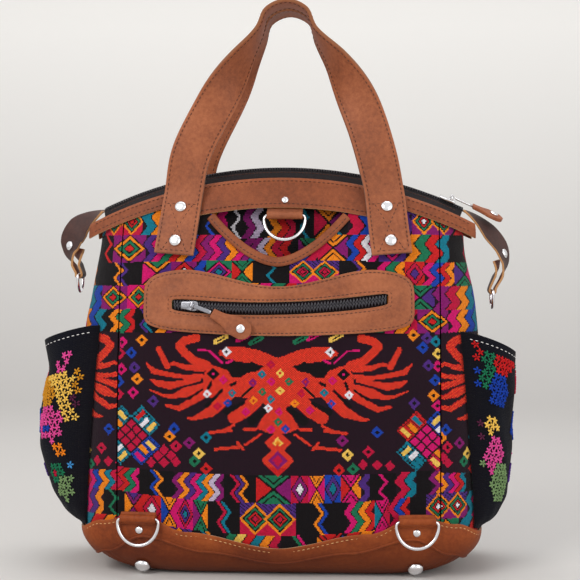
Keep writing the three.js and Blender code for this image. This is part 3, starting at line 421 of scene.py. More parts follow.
tan = leather("strap leather", rgb(182, 108, 68), rgb(152, 84, 50), rgb(116, 60, 34))
band_tan = leather("top band leather", rgb(162, 90, 54), rgb(134, 70, 40), rgb(100, 50, 28),
                   shine=0.28)
# The base leather's low colour is a painted shade that darkens it toward the floor.
saddle = leather("base leather", rgb(170, 86, 34), rgb(142, 64, 22), rgb(102, 40, 12),
                 low=rgb(86, 33, 11), shine=0.26)
raw_edge = thread("raw leather edge", rgb(176, 122, 76), rgb(206, 156, 104))
edge_dark = thread("dyed leather edge", rgb(120, 70, 42), rgb(158, 100, 64))
inside_brown = leather("flesh side of the leather", rgb(84, 48, 40), rgb(58, 32, 28), rgb(36, 20, 18))
woven = brocade("brocaded cloth")
black_cloth = brocade("black cotton", 0.04)
brown_thread = thread("brown sewing thread", rgb(66, 34, 22), rgb(98, 54, 36))
tan_thread = thread("tan sewing thread", rgb(205, 150, 92), rgb(226, 180, 128))
white_thread = thread("white tacking thread", rgb(225, 220, 220), rgb(245, 242, 240))
bright = nickel("bright nickel", (0.86, 0.86, 0.88), 0.1)
gunmetal = nickel("dark nickel", (0.34, 0.34, 0.37), 0.18)
tape_cloth = zip_cloth("zip tape", rgb(10, 5, 8), rgb(26, 16, 20))
coil_nylon = nylon("zip coil", rgb(20, 18, 24), rgb(52, 48, 58))


# ---------------------------------------------------------------- building pieces
def finished(name, mesh, *materials, body="root", slot=None, smooth=True):
    piece = bpy.data.objects.new(name, mesh)
    bpy.context.scene.collection.objects.link(piece)
    for material in materials:
        mesh.materials.append(material)
    if smooth:
        mesh.shade_smooth()
    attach(piece, body)
    return piece


@contextmanager
def edited(mesh):
    """A mesh, new or made, opened for changes that are written back."""
    bm = bmesh.new()
    bm.from_mesh(mesh)
    yield bm
    bm.to_mesh(mesh)
    bm.free()


def read(items, field, width=3, kind=float):
    """A field of all vertices, corners or faces: a row of numbers for each, or one number."""
    flat = np.empty(len(items) * width, kind)
    items.foreach_get(field, flat)
    return flat.reshape(-1, width) if width > 1 else flat


def grid(name, nu, nv, place, *materials, around=False, **look):
    """A sheet whose corner at shares u and v of its sides lies at place(u, v), in millimetres."""
    mesh = bpy.data.meshes.new(name)
    with edited(mesh) as bm:
        bmesh.ops.create_grid(bm, x_segments=nu, y_segments=nv, size=0.5, calc_uvs=False)
    flat = read(mesh.vertices, "co")
    u, v = clamp01(flat[:, 0] + 0.5), clamp01(flat[:, 1] + 0.5)
    corner = read(mesh.loops, "vertex_index", 1, np.int32)
    for layer, (su, sv) in (("OFBake", (1, 1)), ("weave", (nu, nv))):
        spread = np.stack([u[corner] * su, v[corner] * sv], -1).astype(np.float32)
        mesh.uv_layers.new(name=layer).data.foreach_set("uv", spread.ravel())
    mesh.vertices.foreach_set("co", (place(u, v) * MM).astype(np.float32).ravel())
    mesh.update()
    if around:
        with edited(mesh) as bm:
            bmesh.ops.remove_doubles(bm, verts=bm.verts, dist=1e-6)
    return finished(name, mesh, *materials, **look)


def faces_out(piece, outward):
    """Turns the sheet over if its first face looks away from outward(centre)."""
    mesh = piece.data
    middle = mesh.polygons[len(mesh.polygons) // 2]
    if Vector(middle.normal).dot(Vector(outward(middle.center))) < 0:
        mesh.flip_normals()
    return piece


def wall(piece, thickness, round_edge=0.0, rim=0):
    """Gives a sheet its thickness, inwards from its outer face, and rounds its edges."""
    solid = piece.modifiers.new("thickness", "SOLIDIFY")
    solid.thickness = thickness * MM
    solid.offset = -1
    solid.material_offset_rim = rim
    if round_edge:
        bevel = piece.modifiers.new("edge", "BEVEL")
        bevel.width = round_edge * MM
        bevel.segments = 2
        bevel.limit_method = "ANGLE"
        bevel.angle_limit = math.radians(50)
    return piece


def rub(piece, worn):
    """Marks how rubbed each vertex is, from its place in millimetres."""
    mesh = piece.data
    share = clamp01(worn(read(mesh.vertices, "co") / MM))
    layer = mesh.attributes.new("rubbed", "FLOAT", "POINT")
    layer.data.foreach_set("value", share.astype(np.float32))
    return piece


HELD_CREASE = 0.75


def smooth_copy(node, material, levels=2, crease=None, slot=None, push=0.0):
    """A finer stand-in for a CAD node: its mesh merged, with quads restored, and subdivided.

    push makes up, along the normals, for what the subdivision takes off.
    """
    source = nodes[node]
    mesh = source.data.copy()
    mesh.name = node.replace("_", "-")
    mesh.materials.clear()
    with edited(mesh) as bm:
        bmesh.ops.remove_doubles(bm, verts=bm.verts, dist=2e-6)
        bmesh.ops.join_triangles(bm, faces=bm.faces, angle_face_threshold=0.35, angle_shape_threshold=0.9)
        bm.normal_update()
        for vert in bm.verts:
            vert.co += vert.normal * push * MM
        if crease is not None:
            layers = bm.edges.layers.float
            layer = layers.get("crease_edge") or layers.new("crease_edge")
            for edge in bm.edges:
                if edge.is_manifold and edge.calc_face_angle(0) > math.radians(crease):
                    edge[layer] = HELD_CREASE
    piece = finished(mesh.name, mesh, material, body=body_of(node), slot=slot)
    finer = piece.modifiers.new("finer", "SUBSURF")
    finer.levels = finer.render_levels = levels
    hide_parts(node)
    return piece


def body_of(node):
    for name, held in frame["record"]["behaviour"]["bodies"].items():
        if node in held:
            return name
    return "root"


def template(radius, length, sides=6):
    """One stitch: a short rounded thread along X."""
    mesh = bpy.data.meshes.new("stitch")
    with edited(mesh) as bm:
        bmesh.ops.create_uvsphere(bm, u_segments=sides, v_segments=5, radius=1,
                                  matrix=Matrix.Rotation(math.pi / 2, 4, "Y"))
        bmesh.ops.scale(bm, vec=(length / 2, radius, radius), verts=bm.verts)
    return mesh


def scatter(name, shape, origins, alongs, outs, *materials, colours=None, **look):
    """Copies of one small shape, its X along the surface and its Z off it, as one mesh."""
    base = read(shape.vertices, "co")
    x = unit(np.asarray(alongs, float))
    z = np.asarray(outs, float)
    z = unit(z - x * np.sum(x * z, -1, keepdims=True))
    y = np.cross(z, x)
    spots = np.asarray(origins, float)
    every = (spots[:, None] + base[None, :, :1] * x[:, None] + base[None, :, 1:2] * y[:, None]
             + base[None, :, 2:] * z[:, None]) * MM
    faces = [tuple(p.vertices) for p in shape.polygons]
    step = len(base)
    every_face = [tuple(i + k * step for i in f) for k in range(len(spots)) for f in faces]
    mesh = bpy.data.meshes.new(name)
    mesh.from_pydata(every.reshape(-1, 3).tolist(), [], every_face)
    if colours is not None:
        layer = mesh.color_attributes.new("dye", "FLOAT_COLOR", "POINT")
        shades = np.repeat(np.c_[colours, np.ones(len(spots))], step, axis=0)
        layer.data.foreach_set("color", shades.ravel())
    return finished(name, mesh, *materials, **look)


def along_rows(at, run, values):
    """The rows of values, given at run, worked out between them at other places."""
    return np.stack([np.interp(at, run, values[:, k]) for k in range(3)], -1)


def paced(line, pitch, start=0.5):
    """Places, at equal steps along a polyline, with the direction there."""
    line = np.asarray(line, float)
    seg = np.linalg.norm(np.diff(line, axis=0), axis=1)
    run = np.concatenate([[0], np.cumsum(seg)])
    count = max(1, int(run[-1] / pitch))
    at = (np.arange(count) + start) * run[-1] / count
    ahead = along_rows(np.minimum(at + 0.5, run[-1]), run, line)
    back = along_rows(np.maximum(at - 0.5, 0), run, line)
    return along_rows(at, run, line), ahead - back, at / run[-1]


LONG_STITCH = template(0.42, 2.9)


def sew(name, lines, normals, material, pitch=4.3, shape=LONG_STITCH, **look):
    """Rows of stitches along lines on a surface; normals gives the way out at each place."""
    spots, alongs, outs = [], [], []
    for line, normal in zip(lines, normals):
        s, a, t = paced(line, pitch)
        spots.append(s)
        alongs.append(a)
        line_t = np.linspace(0, 1, len(normal))
        outs.append(along_rows(t, line_t, normal))
    return scatter(name, shape, *[np.concatenate(c) for c in (spots, alongs, outs)], material, **look)


# ---------------------------------------------------------------- woven patterns
DYES = {dye: rgb(*shade) for dye, shade in {
    "black": (12, 6, 10), "ground": (33, 12, 26), "red": (206, 30, 32), "orange": (248, 138, 26),
    "magenta": (216, 16, 110), "crimson": (196, 16, 62), "purple": (136, 22, 108),
    "violet": (80, 42, 128), "blue": (24, 66, 172), "teal": (10, 122, 146), "green": (28, 118, 82),
    "white": (242, 238, 246), "lilac": (202, 186, 214), "yellow": (248, 202, 92), "navy": (8, 10, 22),
    "ember": (238, 72, 40), "plum": (92, 34, 66), "pink": (232, 80, 158), "ochre": (214, 146, 34),
    "sky": (70, 150, 214), "leaf": (126, 156, 104),
}.items()}


def palette(text):
    return text.split()


class Weft:
    """The dyes of a cloth's floats. Each mark is drawn over the last, at the floats' own places."""

    def __init__(self, x, z, ground="ground"):
        self.x, self.z = x, z
        self.dye = np.tile(DYES[ground], (len(x), 1))

    def paint(self, where, colour):
        self.dye[where] = DYES[colour]

    def polygon(self, corners, colour):
        inside = np.zeros(len(self.x), bool)
        for (x0, z0), (x1, z1) in zip(corners, corners[1:] + corners[:1]):
            crosses = (z0 > self.z) != (z1 > self.z)
            at = x0 + (self.z - z0) * (x1 - x0) / ((z1 - z0) or 1e-9)
            inside ^= crosses & (self.x < at)
        self.paint(inside, colour)

    def stroke(self, stops, widths, colour, mirror=None):
        """A tapered band through the stops. Where mirror is set, its twin beyond that x is drawn too."""
        for flip in ([False] if mirror is None else [False, True]):
            line = [(2 * mirror - x, z) if flip else (x, z) for x, z in stops]
            share = np.linspace(0, 1, len(widths))
            for i, ((x0, z0), (x1, z1)) in enumerate(zip(line, line[1:])):
                dx, dz = x1 - x0, z1 - z0
                t = clamp01(((self.x - x0) * dx + (self.z - z0) * dz) / max(dx * dx + dz * dz, 1e-9))
                run = (i + t) / (len(line) - 1)
                half = np.interp(run, share, widths) / 2
                self.paint(np.hypot(self.x - x0 - t * dx, self.z - z0 - t * dz) < half, colour)

    def lozenge(self, x, z, half_w, half_h, *colours):
        reach = np.abs(self.x - x) / half_w + np.abs(self.z - z) / half_h
        for k, colour in enumerate(colours):
            self.paint(reach < 1 - k / len(colours), colour)

    def figure(self, spots, size, heart="black", share=0.36):
        for colour, places in spots.items():
            for x, z in places:
                reach = (np.abs(self.x - x) + np.abs(self.z - z)) / size
                self.paint(reach < 1, colour)
                self.paint(reach < share, heart)


FLOAT_W, FLOAT_H = 1.15, 1.05
ZIG = 3.4


def zigzag(t):
    """Sideways shift of a stripe at share t of its row's height."""
    return ZIG * (2 * np.abs(2 * ((1.5 * t) % 1) - 1) - 1)


def stripes(w, at, t, x0, x1, colours, seam="black"):
    step = (x1 - x0) / len(colours)
    run = (w.x - x0 + zigzag(t)) / step
    k = np.clip(np.floor(run), 0, len(colours) - 1).astype(int)
    for i, colour in enumerate(colours):
        w.paint(at & (k == i), colour)
    w.paint(at & (run % 1 < 0.13), seam)


def plain(w, at, t, x0, x1, colours):
    w.paint(at, "black")
    middle = (x0 + x1) / 2
    for i, colour in enumerate(colours):
        line = middle + (i - (len(colours) - 1) / 2) * 4.2 + zigzag(t)
        w.paint(at & (np.abs(w.x - line) < 1.5), colour)


def crossing(w, at, t, x0, x1, colours):
    """Two triangles left and right of a crossing, and nested angles above and below it."""
    left, right, rise, heart = colours
    along = (w.x - (x0 + x1) / 2) / ((x1 - x0) / 2)
    off = np.abs(2 * t - 1)
    depth = np.abs(along) - off
    w.paint(at & (depth < 0), rise)
    w.paint(at & (depth < -0.42), heart)
    w.paint(at & (along < 0) & (depth > 0), left)
    w.paint(at & (along > 0) & (depth > 0), right)
    w.paint(at & (np.abs(depth) < 0.09), "black")
    w.paint(at & (np.abs(depth + 0.42) < 0.07), "black")


def diamond(w, at, t, x0, x1, colours):
    along = np.abs(w.x - (x0 + x1) / 2) / ((x1 - x0) / 2)
    reach = along + np.abs(2 * t - 1)
    w.paint(at, colours[0])
    for k, colour in enumerate(colours[1:]):
        w.paint(at & (reach < 1 - k / (len(colours) - 1)), colour)
        w.paint(at & (np.abs(reach - 1 + k / (len(colours) - 1)) < 0.06), "black")


def twins(w, at, t, x0, x1, colours):
    """A block with two tall nested diamonds side by side, hatched above."""
    field, hatch, *bands = colours
    w.paint(at, field)
    w.paint(at & (t > 0.55), hatch)
    w.paint(at & (t > 0.55) & ((w.x + 1.3 * w.z) % 4.4 < 1.2), "black")
    quarter = (x1 - x0) / 4
    for middle in (x0 + 1.12 * quarter, x1 - 1.12 * quarter):
        reach = np.abs(w.x - middle) / (1.15 * quarter) + np.abs(2 * t - 1) * 0.98
        for k, colour in enumerate(bands):
            w.paint(at & (reach < 1 - k / len(bands)), colour)
            w.paint(at & (np.abs(reach - 1 + k / len(bands)) < 0.055) & (k > 0), "black")


def vacant(w, at, t, x0, x1, colours):
    """A stretch of the row that shows what is drawn below it."""


KINDS = {"s": stripes, "k": plain, "x": crossing, "d": diamond, "m": twins, "v": vacant}


def bowed(w, edge, middle):
    """A height that goes from edge at the cloth's seams to middle halfway between them."""
    return mix(edge, middle, 1 - np.minimum(1, np.abs(w.x) / PANEL_HALF_WIDTH) ** 2)


def row(w, low, high, x, blocks):
    """One band of blocks (kind, width, dyes) from x rightwards, and again on both sides of it.

    low and high are the band's heights at the cloth's seams and in its middle.
    """
    floor, roof = bowed(w, *low), bowed(w, *high)
    t = (w.z - floor) / (roof - floor)
    inside = (t >= 0) & (t < 1)
    x -= sum(width for _, width, _ in blocks)
    for kind, width, dyes in blocks * 3:
        shift = zigzag(t) if kind == "s" else 0
        at = inside & (w.x + shift >= x) & (w.x + shift < x + width)
        if at.any():
            KINDS[kind](w, at, t, x, x + width, palette(dyes))
        x += width


BASE_ROWS = [
    ((80.7, 70.6), (102.8, 96.4), -160, [
        ("s", 31, "teal crimson red green magenta"), ("k", 33, "blue orange"),
        ("s", 46, "purple orange violet magenta teal orange lilac purple"),
        ("k", 30, "crimson violet orange"), ("x", 33, "red purple green green"),
        ("d", 16, "crimson purple white"), ("x", 15, "magenta magenta orange orange"),
        ("d", 15, "blue violet teal"), ("x", 18, "red orange magenta magenta"), ("s", 8, "violet"),
        ("k", 25, "magenta"), ("s", 18, "crimson teal"), ("k", 14, "black"),
        ("s", 34, "purple orange violet magenta red teal"), ("k", 26, "green"),
        ("s", 30, "red magenta blue orange")]),
    ((56.8, 41), (80.7, 70.6), -163, [
        ("k", 20, "green"), ("x", 17, "orange red purple violet"), ("d", 18, "red crimson white"),
        ("x", 15, "blue magenta orange orange"), ("d", 15, "magenta crimson violet teal"),
        ("x", 14, "purple orange green green"), ("k", 29, "crimson teal"),
        ("m", 52, "crimson violet orange green red crimson"), ("k", 47, "orange blue"),
        ("s", 26, "magenta green orange red"), ("x", 14, "teal crimson magenta magenta"),
        ("s", 18, "crimson blue red"), ("k", 15, "black"),
        ("m", 40, "purple violet orange green red white"), ("s", 34, "teal magenta violet orange")]),
    ((30, 12), (56.8, 41), -163, [
        ("s", 40, "orange magenta green blue"), ("m", 44, "magenta violet orange green red crimson"),
        ("k", 30, "teal orange"), ("s", 52, "green yellow red teal orange crimson"),
        ("k", 34, "green magenta"), ("x", 24, "orange blue red red"),
        ("s", 50, "red orange magenta violet"), ("k", 30, "blue"),
        ("d", 26, "green orange red crimson"), ("s", 30, "teal red")]),
]
TOP_ROWS = [
    ((227, 229), (249, 252), -165, [
        ("s", 30, "black orange green red"), ("k", 22, "violet teal"),
        ("s", 40, "orange purple magenta violet"), ("d", 30, "green orange green red"),
        ("s", 60, "magenta teal crimson orange blue"), ("m", 44, "crimson violet orange green red red"),
        ("k", 30, "orange"), ("s", 38, "green magenta orange crimson"),
        ("d", 28, "purple orange green red"), ("s", 40, "magenta orange blue teal")]),
    ((249, 252), (271, 274), -169, [
        ("d", 26, "purple orange green red"), ("d", 22, "magenta orange green red"),
        ("s", 34, "violet red green magenta"), ("k", 28, "orange"),
        ("s", 76, "purple teal orange magenta green red"),
        ("m", 40, "crimson violet orange green red red"), ("k", 30, "violet orange"),
        ("s", 32, "green orange red magenta"), ("x", 26, "magenta violet green green"),
        ("s", 56, "purple crimson orange teal blue")]),
    ((271, 274), (293, 295), -171, [
        ("k", 42, "orange violet"), ("x", 28, "magenta violet orange green"),
        ("d", 24, "purple red white"), ("s", 9, "blue"), ("d", 24, "green magenta violet teal"),
        ("x", 20, "red orange green green"), ("k", 34, "teal"),
        ("m", 46, "magenta violet orange green crimson crimson"), ("k", 38, "violet orange"),
        ("s", 24, "magenta green orange"), ("d", 18, "red crimson violet"),
        ("s", 28, "magenta blue red orange"), ("x", 26, "violet magenta green green"),
        ("k", 30, "orange")]),
    ((293, 295), (319, 319), -171, [
        ("k", 12, "red"), ("d", 32, "purple orange green red"),
        ("s", 48, "violet magenta green red orange blue"),
        ("s", 60, "crimson purple magenta violet orange magenta purple teal"),
        ("s", 56, "orange teal orange white blue crimson"), ("x", 28, "crimson purple orange orange"),
        ("s", 28, "blue red white magenta"), ("d", 26, "violet magenta violet teal"),
        ("s", 40, "orange green red teal"), ("k", 50, "crimson green")]),
    ((319, 319), (345, 345), -171, [
        ("m", 40, "crimson violet orange green red red"),
        ("s", 50, "teal orange magenta violet crimson"), ("k", 30, "blue"),
        ("s", 60, "orange purple green red magenta yellow"), ("d", 30, "magenta red orange teal"),
        ("k", 26, "orange teal"), ("s", 60, "crimson blue orange green violet"),
        ("m", 40, "purple violet orange green red white"), ("s", 40, "red teal")]),
    ((345, 345), (371, 371), -171, [
        ("s", 60, "orange violet green crimson teal"), ("k", 40, "red blue"),
        ("s", 60, "magenta orange purple green"), ("m", 50, "crimson violet orange green red red"),
        ("s", 80, "teal red violet yellow magenta blue"), ("k", 60, "green")]),
]
AXIS_X = 0.5
FEATHERS = [
    ([(76.7, 223), (87, 220.5), (92.7, 215.4), (87, 208.7), (78.7, 202.1), (66.3, 198)], [7.7]),
    ([(111.8, 212.3), (106.1, 201.1), (103.5, 197)], [5, 6]),
    ([(103.5, 197), (97.3, 199.5), (87, 196), (70.5, 194.9)], [3, 3, 5, 7]),
    ([(123.1, 199), (116.9, 191.9), (102.5, 188.8), (87, 186.8), (70.5, 187.8)], [2, 5, 4.5, 4, 4]),
    ([(119, 183.7), (111.8, 180.6), (100.4, 178.6), (87, 181.6), (73.5, 184.7)], [2, 6, 7, 5, 4]),
    (
        [(120, 174.5), (105.6, 168.9), (97.3, 168.9), (87, 172.4), (74.6, 176.5), (66.3, 179.6)],
        [1.5, 3, 4, 9, 7, 5],
    ),
    ([(103.5, 160.2), (92.1, 157.6), (78.7, 165.3), (66.3, 173.5), (61.2, 177.6)], [3, 5, 7, 9, 8]),
    (
        [(83.9, 148.4), (76.7, 148.9), (62.2, 155.1), (51.9, 165.3), (42.6, 175.5), (35.3, 182.7)],
        [2, 4, 10, 12, 12, 12],
    ),
    ([(40.5, 150), (29.1, 157.1), (18.8, 167.3), (9.5, 177.6)], [12, 13, 13, 12]),
    (
        [(52.9, 209.2), (45.7, 209.2), (35.3, 208.2), (21.9, 206.2), (11.6, 203.1), (2.3, 198)],
        [5, 12, 14, 13, 12, 14],
    ),
    ([(15.7, 134.6), (30.2, 124.4)], [2.4]), ([(30.7, 138.7), (20.4, 139.2)], [3]),
    ([(58.1, 120.3), (35.3, 122.4)], [3]), ([(37.4, 126.5), (32.2, 120.3)], [2.5]),
    ([(63.2, 135.7), (43.6, 137.7)], [3]), ([(49.8, 138.2), (40.5, 142.8)], [2.4]),
]
EAGLE_BODY = [
    [
        (66.3, 199), (56, 196.5), (46.7, 192.9), (42.5, 186.2), (34.8, 186.2), (29.1, 190.8),
        (14.2, 196), (0, 197), (0, 165.3), (19.8, 165.3), (37.4, 169.4), (56, 165.3), (66.3, 169.4),
        (70.5, 179.6),
    ],
    [(0, 197), (14, 196), (18, 170), (9, 158), (20, 140), (10, 136), (0, 134)],
]
NECK_HOLE = [
    (56, 196.5), (40.5, 201.6), (32.2, 199.5), (24, 201.3), (14.2, 196.5), (19.8, 192.4), (30.2, 190.8),
    (34.8, 186.2), (42.6, 186.8), (46.7, 192.9),
]
SLASHES = [
    ([(51.9, 175), (66.3, 160.2)], [2.5, 4]), ([(24, 177.6), (33.3, 169.4)], [2.2]),
    ([(39.5, 181.6), (43.5, 179.6)], [3]), ([(32.2, 163.2), (47.7, 155)], [3, 6]),
    ([(9.5, 158.1), (24, 146.9)], [4, 9]), ([(70.5, 175.5), (82.9, 166.3)], [2]),
    ([(62.5, 181.6), (64.5, 176.5)], [3]),
]
EAGLE_STUDS = {
    "magenta": [
        (-50.3, 184.2), (-5.9, 183.2), (-29.1, 155.1), (1.3, 155.1), (-5.9, 138.7),
        (51, 184), (30, 157),
    ],
    "crimson": [(-5.9, 198.5), (-55.5, 160.2), (22, 172)],
    "teal": [(-14.7, 189.8), (-42.1, 172.4), (-5.9, 166.8), (43, 173)],
    "yellow": [(2.4, 190.8), (2.4, 174.5)], "purple": [(-23, 181.6), (26, 183)],
    "white": [(-65.3, 171.4), (-8.5, 158.6), (66, 171)],
    "blue": [(-46.2, 163.2), (7.5, 139.7), (50, 163)],
    "green": [(-14.2, 173.5), (10.6, 183.2), (0.8, 145.9)], "orange": [(-22.4, 165.3), (16, 163)],
}
LOOSE = {
    "magenta": [(-146.8, 218.4), (-147.1, 193.3), (-135.5, 171.8), (148.1, 197.3), (147.9, 161)],
    "orange": [
        (-127.8, 220.6), (-131.6, 184.4), (-100.4, 131.8), (125.3, 226), (152.7, 182.5),
        (143.9, 170.5),
    ],
    "crimson": [(-148.8, 208), (-150, 170), (-94.4, 122.7), (84, 119)],
    "blue": [
        (-137.6, 208.6), (-149.5, 181.8), (-96.2, 138.7), (134.2, 214.5), (145.6, 184.4),
        (92, 137),
    ],
    "violet": [(-134.7, 195), (-116.1, 164.1), (138.2, 223.2), (139.4, 198), (126.1, 163.4)],
    "teal": [(146.3, 220), (-66, 131)], "yellow": [(148.1, 208.8), (-73, 116), (65, 116)],
    "green": [(-77, 109), (70, 103)], "purple": [(-82, 126), (60, 129)], "red": [(-66, 102), (57, 102)],
}
CRIMSON_SQUARES = [
    (-105.5, 119.4), (-111.1, 113.9), (-99, 113.9), (-117.6, 107.4), (-105.5, 107.4), (-94.3, 108.3),
    (79, 107), (92, 107), (104, 106),
]


LEAVES = [(-53, 222, "yellow"), (54, 224, "yellow"), (-32, 223.5, "magenta"),
          (33, 225, "magenta"), (-20, 221, "green"), (21, 222, "green")]


def eagle(w):
    """The old two-headed bird of the weavers, alike on both sides of its middle."""
    twin = lambda corners, way: [(AXIS_X + way * d, z) for d, z in corners]
    for way in (-1, 1):
        for stops, widths in FEATHERS:
            w.stroke(twin(stops, way), widths, "red")
        for corners in EAGLE_BODY:
            w.polygon(twin(corners, way), "red")
        w.polygon(twin(NECK_HOLE, way), "black")
        for stops, widths in SLASHES:
            w.stroke(twin(stops, way), widths, "black")
        w.stroke(twin([(74.6, 211.8), (64.3, 211.3), (51.9, 200)], way), [1.8], "magenta")
        w.stroke(twin([(47.7, 200), (42.6, 202.6)], way), [2.4], "magenta")
        w.figure({"white": twin([(48.2, 210.3)], way)}, 4.6, "black", 0.3)
        w.figure({"black": twin([(60.6, 189.8)], way)}, 6, "magenta", 0.3)
    w.lozenge(AXIS_X, 126.5, 12.5, 12.5, "red")
    w.lozenge(AXIS_X, 126.5, 5.2, 5.2, "yellow", "orange")
    w.lozenge(AXIS_X, 110.1, 15.3, 15.3, "red")
    w.lozenge(AXIS_X, 110.1, 9, 9, "purple")
    w.lozenge(AXIS_X, 110.1, 5, 5, "crimson")
    ember = (w.dye == DYES["red"]).all(axis=1) & (w.z > 104) & (w.z < 227)
    step = np.floor(w.x / FLOAT_W) + np.floor(w.z / FLOAT_H)
    w.paint(ember & (step % 2 == 0), "ember")
    w.figure(EAGLE_STUDS, 4.3, "red", 0.3)


def lattice(w, x, z, square, bars, inserts):
    """A corner figure: small squares inside a frame of woven bars with bright inserts."""
    for k, (dx, dz) in enumerate([(-1, 1), (1, 1), (1, -1), (-1, -1)]):
        cx, cz = x + dx * 13.8, z + dz * 13.8
        along = ((w.x - cx) * dz * dx * -1 + (w.z - cz)) / math.sqrt(2)
        off = ((w.x - cx) * dx + (w.z - cz) * dz) / math.sqrt(2)
        bar = (np.abs(along) < 13) & (np.abs(off) < 7.2)
        w.paint(bar, bars[k])
        w.paint(bar & ((along / 3.3) % 1 < 0.2), "black")
        w.paint(bar & ((off / 4.8) % 1 < 0.14), "black")
        for j, insert in enumerate(palette(inserts)[2 * (k % 2):2 * (k % 2) + 3]):
            spot = (np.abs(along + 8 - 7.5 * j) < 2.1) & (np.abs(off + (j % 2) * 2) < 5)
            w.paint(spot, insert)
    w.lozenge(x, z, 17.5, 17.5, "ground")
    for i in range(-1, 2):
        for j in range(-1, 2):
            w.lozenge(x + (i + j) * 5.4, z + (i - j) * 5.4, 4.3, 4.3, square)


def all_rows(w):
    for low, high, x, blocks in BASE_ROWS + TOP_ROWS:
        row(w, low, high, x, blocks)


def field_ground(w):
    """The dark field between the lower and the upper rows."""
    low, high = BASE_ROWS[0][1], TOP_ROWS[0][0]
    w.paint((w.z > bowed(w, *low)) & (w.z < bowed(w, *high)), "ground")


def central_field(w):
    """The field with the eagle, its loose figures and the two corner lattices."""
    field_ground(w)
    eagle(w)
    w.figure(LOOSE, 5.8)
    for x, z, colour in LEAVES:
        w.stroke([(x - 5, z - 2.5), (x + 5, z + 2.5)], [4.6], colour)
        w.stroke([(x - 3, z - 2), (x + 3, z + 1.6)], [1.2], "black")
    lattice(w, -137, 132, "crimson", ["teal", "teal", "blue", "teal"], "magenta orange yellow white red")
    lattice(w, 137.7, 128.6, "magenta", ["red", "blue", "crimson", "teal"], "yellow orange teal white yellow")
    w.figure({"crimson": CRIMSON_SQUARES}, 4.9, "crimson")


def front_pattern(w):
    all_rows(w)
    central_field(w)
    for x, width in ((-169, 20), (155, 22)):
        row(w, (206, 206), (229, 229), x, [("d", width, "ground orange green red"), ("v", 310, "")])


BACK_PITCH_X, BACK_PITCH_Z = 36, 40
BACK_DIAMONDS = ["red orange crimson yellow", "teal blue purple white", "magenta green red orange"]
BACK_DOTS = ["orange", "blue", "crimson", "green", "violet"]


def back_pattern(w):
    """The rows in another order, and a plain net of diamonds and dots for the field."""
    for low, high, x, blocks in BASE_ROWS + TOP_ROWS:
        turned = [(kind, width, " ".join(reversed(palette(dyes))) if kind == "s" else dyes)
                  for kind, width, dyes in blocks[3:] + blocks[:3]]
        row(w, low, high, x, turned)
    field_ground(w)
    for i in range(-4, 5):
        for j in range(3):
            x, z = i * BACK_PITCH_X + BACK_PITCH_X // 2 * (j % 2), 123 + j * BACK_PITCH_Z
            if abs(x) < PANEL_HALF_WIDTH:
                w.lozenge(x, z, 16, 17, *palette(BACK_DIAMONDS[(i + j) % 3]))
    for i in range(-4, 5):
        for j in range(4):
            x, z = i * BACK_PITCH_X + BACK_PITCH_X // 2 * ((j + 1) % 2), 103 + j * BACK_PITCH_Z
            w.lozenge(x, z, 4.6, 4.6, BACK_DOTS[(i + 2 * j) % 5], "black")


SIDE_REPEAT = 250


def side_pattern(w):
    """The front's rows and field run on round the side, where the eagle comes again."""
    all_rows(w)
    w.x = w.x - SIDE_REPEAT * np.sign(w.x)
    central_field(w)


def lining_pattern_in_painted_shade(w):
    w.paint(w.z > 0, "black")
    row(w, (262, 262), (288, 288), -96, [
        ("k", 30, "red teal"), ("s", 26, "magenta purple orange"), ("k", 52, "teal orange"),
        ("x", 30, "crimson magenta green green"), ("s", 30, "blue orange red"), ("k", 40, "violet")])
    row(w, (288, 288), (316, 316), -92, [
        ("k", 14, "blue"), ("s", 26, "teal magenta purple"), ("s", 26, "crimson black purple"),
        ("s", 20, "purple lilac orange"), ("s", 24, "crimson red black"),
        ("x", 22, "purple crimson green green"), ("d", 22, "black orange red magenta"),
        ("s", 30, "blue teal red")])
    row(w, (316, 316), (346, 346), -96, [
        ("k", 16, "green"), ("s", 30, "purple orange magenta"), ("k", 16, "white"),
        ("s", 24, "purple lilac black"), ("s", 24, "orange red crimson"), ("k", 18, "teal"),
        ("x", 28, "crimson purple orange orange"), ("s", 36, "blue red magenta")])
    # Painted shade: every dye of the lining is darkened to 0.62, for the shade inside the slip pocket.
    w.dye *= 0.62


def float_centres(piece):
    return read(piece.data.polygons, "center") / MM


def cell_middles(piece, layer):
    """The middle of each quad on one of the sheet's maps."""
    return read(piece.data.uv_layers[layer].data, "uv", 2).reshape(-1, 4, 2).mean(axis=1)


def dyed(piece, w):
    """Writes each float's dye on the corners of its quad."""
    mesh = piece.data
    count = read(mesh.polygons, "loop_total", 1, np.int32)
    layer = mesh.color_attributes.new("dye", "FLOAT_COLOR", "CORNER")
    colours = np.repeat(np.c_[w.dye, np.ones(len(w.dye))], count, axis=0)
    layer.data.foreach_set("color", colours.astype(np.float32).ravel())
    return piece


def woven_in(piece, pattern):
    """Dyes the sheet's floats by the pattern, at their own x and z."""
    centre = float_centres(piece)
    w = Weft(centre[:, 0], centre[:, 2])
    pattern(w)
    return dyed(piece, w)


def trimmed(piece, keep):
    """Cuts the cloth along its floats: faces go where keep(x, z) is false."""
    centre = float_centres(piece)
    kept = keep(centre[:, 0], centre[:, 2])
    with edited(piece.data) as bm:
        bm.faces.ensure_lookup_table()
        bmesh.ops.delete(bm, geom=[bm.faces[i] for i in np.nonzero(~kept)[0]], context="FACES")
    return piece


# ---------------------------------------------------------------- cloth body
PANEL_EDGE = PANEL_HALF_WIDTH - CLEAR


